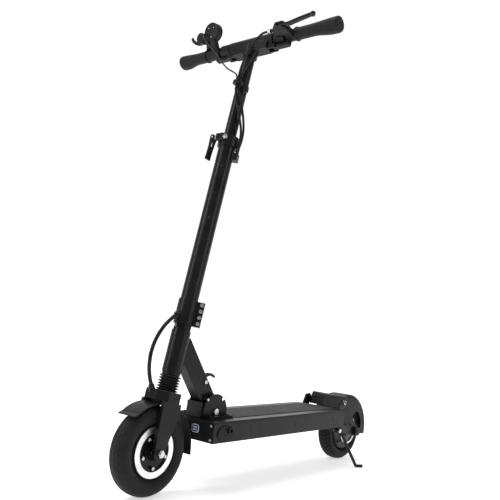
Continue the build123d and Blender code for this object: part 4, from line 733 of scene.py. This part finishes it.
# ================= camera, lights and floor =================
CAMERA_AT = (1.44024, 1.10754, 0.41526)
CAMERA_TURN = (219.90, -5.91, 5.13)  # yaw, pitch and roll in degrees
AWAY = (-0.767, -0.641, 0.0)  # the way the camera faces, level
cam_data = bpy.data.cameras.new("camera")
cam_data.sensor_width = 36.0
cam_data.lens = 46.93
camera = bpy.data.objects.new("camera", cam_data)
scene.collection.objects.link(camera)
yaw, pitch, roll = (math.radians(a) for a in CAMERA_TURN)
look = Vector((math.cos(yaw) * math.cos(pitch), math.sin(yaw) * math.cos(pitch), -math.sin(pitch)))
right = Vector((math.sin(yaw), -math.cos(yaw), 0.0))
up = right.cross(look)
cam_right = right * math.cos(roll) + up * math.sin(roll)
cam_up = -right * math.sin(roll) + up * math.cos(roll)
rotation = Matrix((cam_right, cam_up, -look)).transposed()
camera.matrix_world = Matrix.Translation(CAMERA_AT) @ rotation.to_4x4()
cam_data.clip_start = 0.02
cam_data.clip_end = 200.0
scene.camera = camera

floor_mesh = bpy.data.meshes.new("studio_floor")
half_floor = 30.0
corners = [(x * half_floor, y * half_floor, 0) for x, y in ((-1, -1), (1, -1), (1, 1), (-1, 1))]
floor_mesh.from_pydata(corners, [], [(0, 1, 2, 3)])
floor = bpy.data.objects.new("studio_floor", floor_mesh)
scene.collection.objects.link(floor)
floor_material, tree, shader = new_material("pale studio floor")
at = coords(tree)
cloud = noise(tree, at, 1.2, 4.0)
tone = ramp(tree, cloud, "Fac", (0.86, 0.86, 0.86), (0.89, 0.89, 0.89))
link(tree, tone, "Color", shader, "Base Color")
shader.inputs["Roughness"].default_value = 0.75
link(tree, tone, "Color", shader, "Emission Color")
shader.inputs["Emission Strength"].default_value = 0.6
floor_mesh.materials.append(floor_material)

world = bpy.data.worlds.new("studio")
scene.world = world
world.use_nodes = True
background = world.node_tree.nodes["Background"]
# White behind the scooter, falling to a softer grey on the side it is photographed from.
sky = world.node_tree
direction = sky.nodes.new("ShaderNodeTexCoord")
facing = sky.nodes.new("ShaderNodeVectorMath")
facing.operation = "DOT_PRODUCT"
facing.inputs[1].default_value = AWAY
link(sky, direction, "Generated", facing, 0)
strength = sky.nodes.new("ShaderNodeMapRange")
strength.interpolation_type = "SMOOTHSTEP"
strength.inputs["From Min"].default_value = 0.25
strength.inputs["From Max"].default_value = 0.72
strength.inputs["To Min"].default_value = 0.3
strength.inputs["To Max"].default_value = 1.03
link(sky, facing, "Value", strength, "Value")
background.inputs["Color"].default_value = (1.0, 1.0, 1.0, 1.0)
link(sky, strength, "Result", background, "Strength")


def softbox(name, at, target, size_x, size_y, power):
    """A rectangular lamp at one point, turned to another."""
    data = bpy.data.lights.new(name, "AREA")
    data.shape = "RECTANGLE"
    data.size = size_x
    data.size_y = size_y
    data.energy = power
    light = bpy.data.objects.new(name, data)
    scene.collection.objects.link(light)
    light.location = at
    aim = Vector(target) - Vector(at)
    light.rotation_euler = aim.to_track_quat("-Z", "Y").to_euler()


softbox("key", (2.1, -0.9, 1.5), (0.1, 0.0, 0.5), 0.4, 2.2, 24.0)
softbox("fill", (-0.4, 2.3, 1.4), (0.0, 0.0, 0.5), 0.4, 2.0, 15.0)
softbox("top", (0.2, 0.2, 2.9), (0.0, 0.0, 0.4), 1.4, 1.4, 12.0)
sun_data = bpy.data.lights.new("room", "SUN")
sun_data.energy = 1.3
sun_data.angle = math.radians(35)
sun = bpy.data.objects.new("room", sun_data)
scene.collection.objects.link(sun)
sun.rotation_euler = Vector((-0.35, 0.25, -1.0)).to_track_quat("-Z", "Y").to_euler()

scene.view_settings.view_transform = "Standard"
scene.view_settings.look = "None"

bpy.context.view_layer.update()
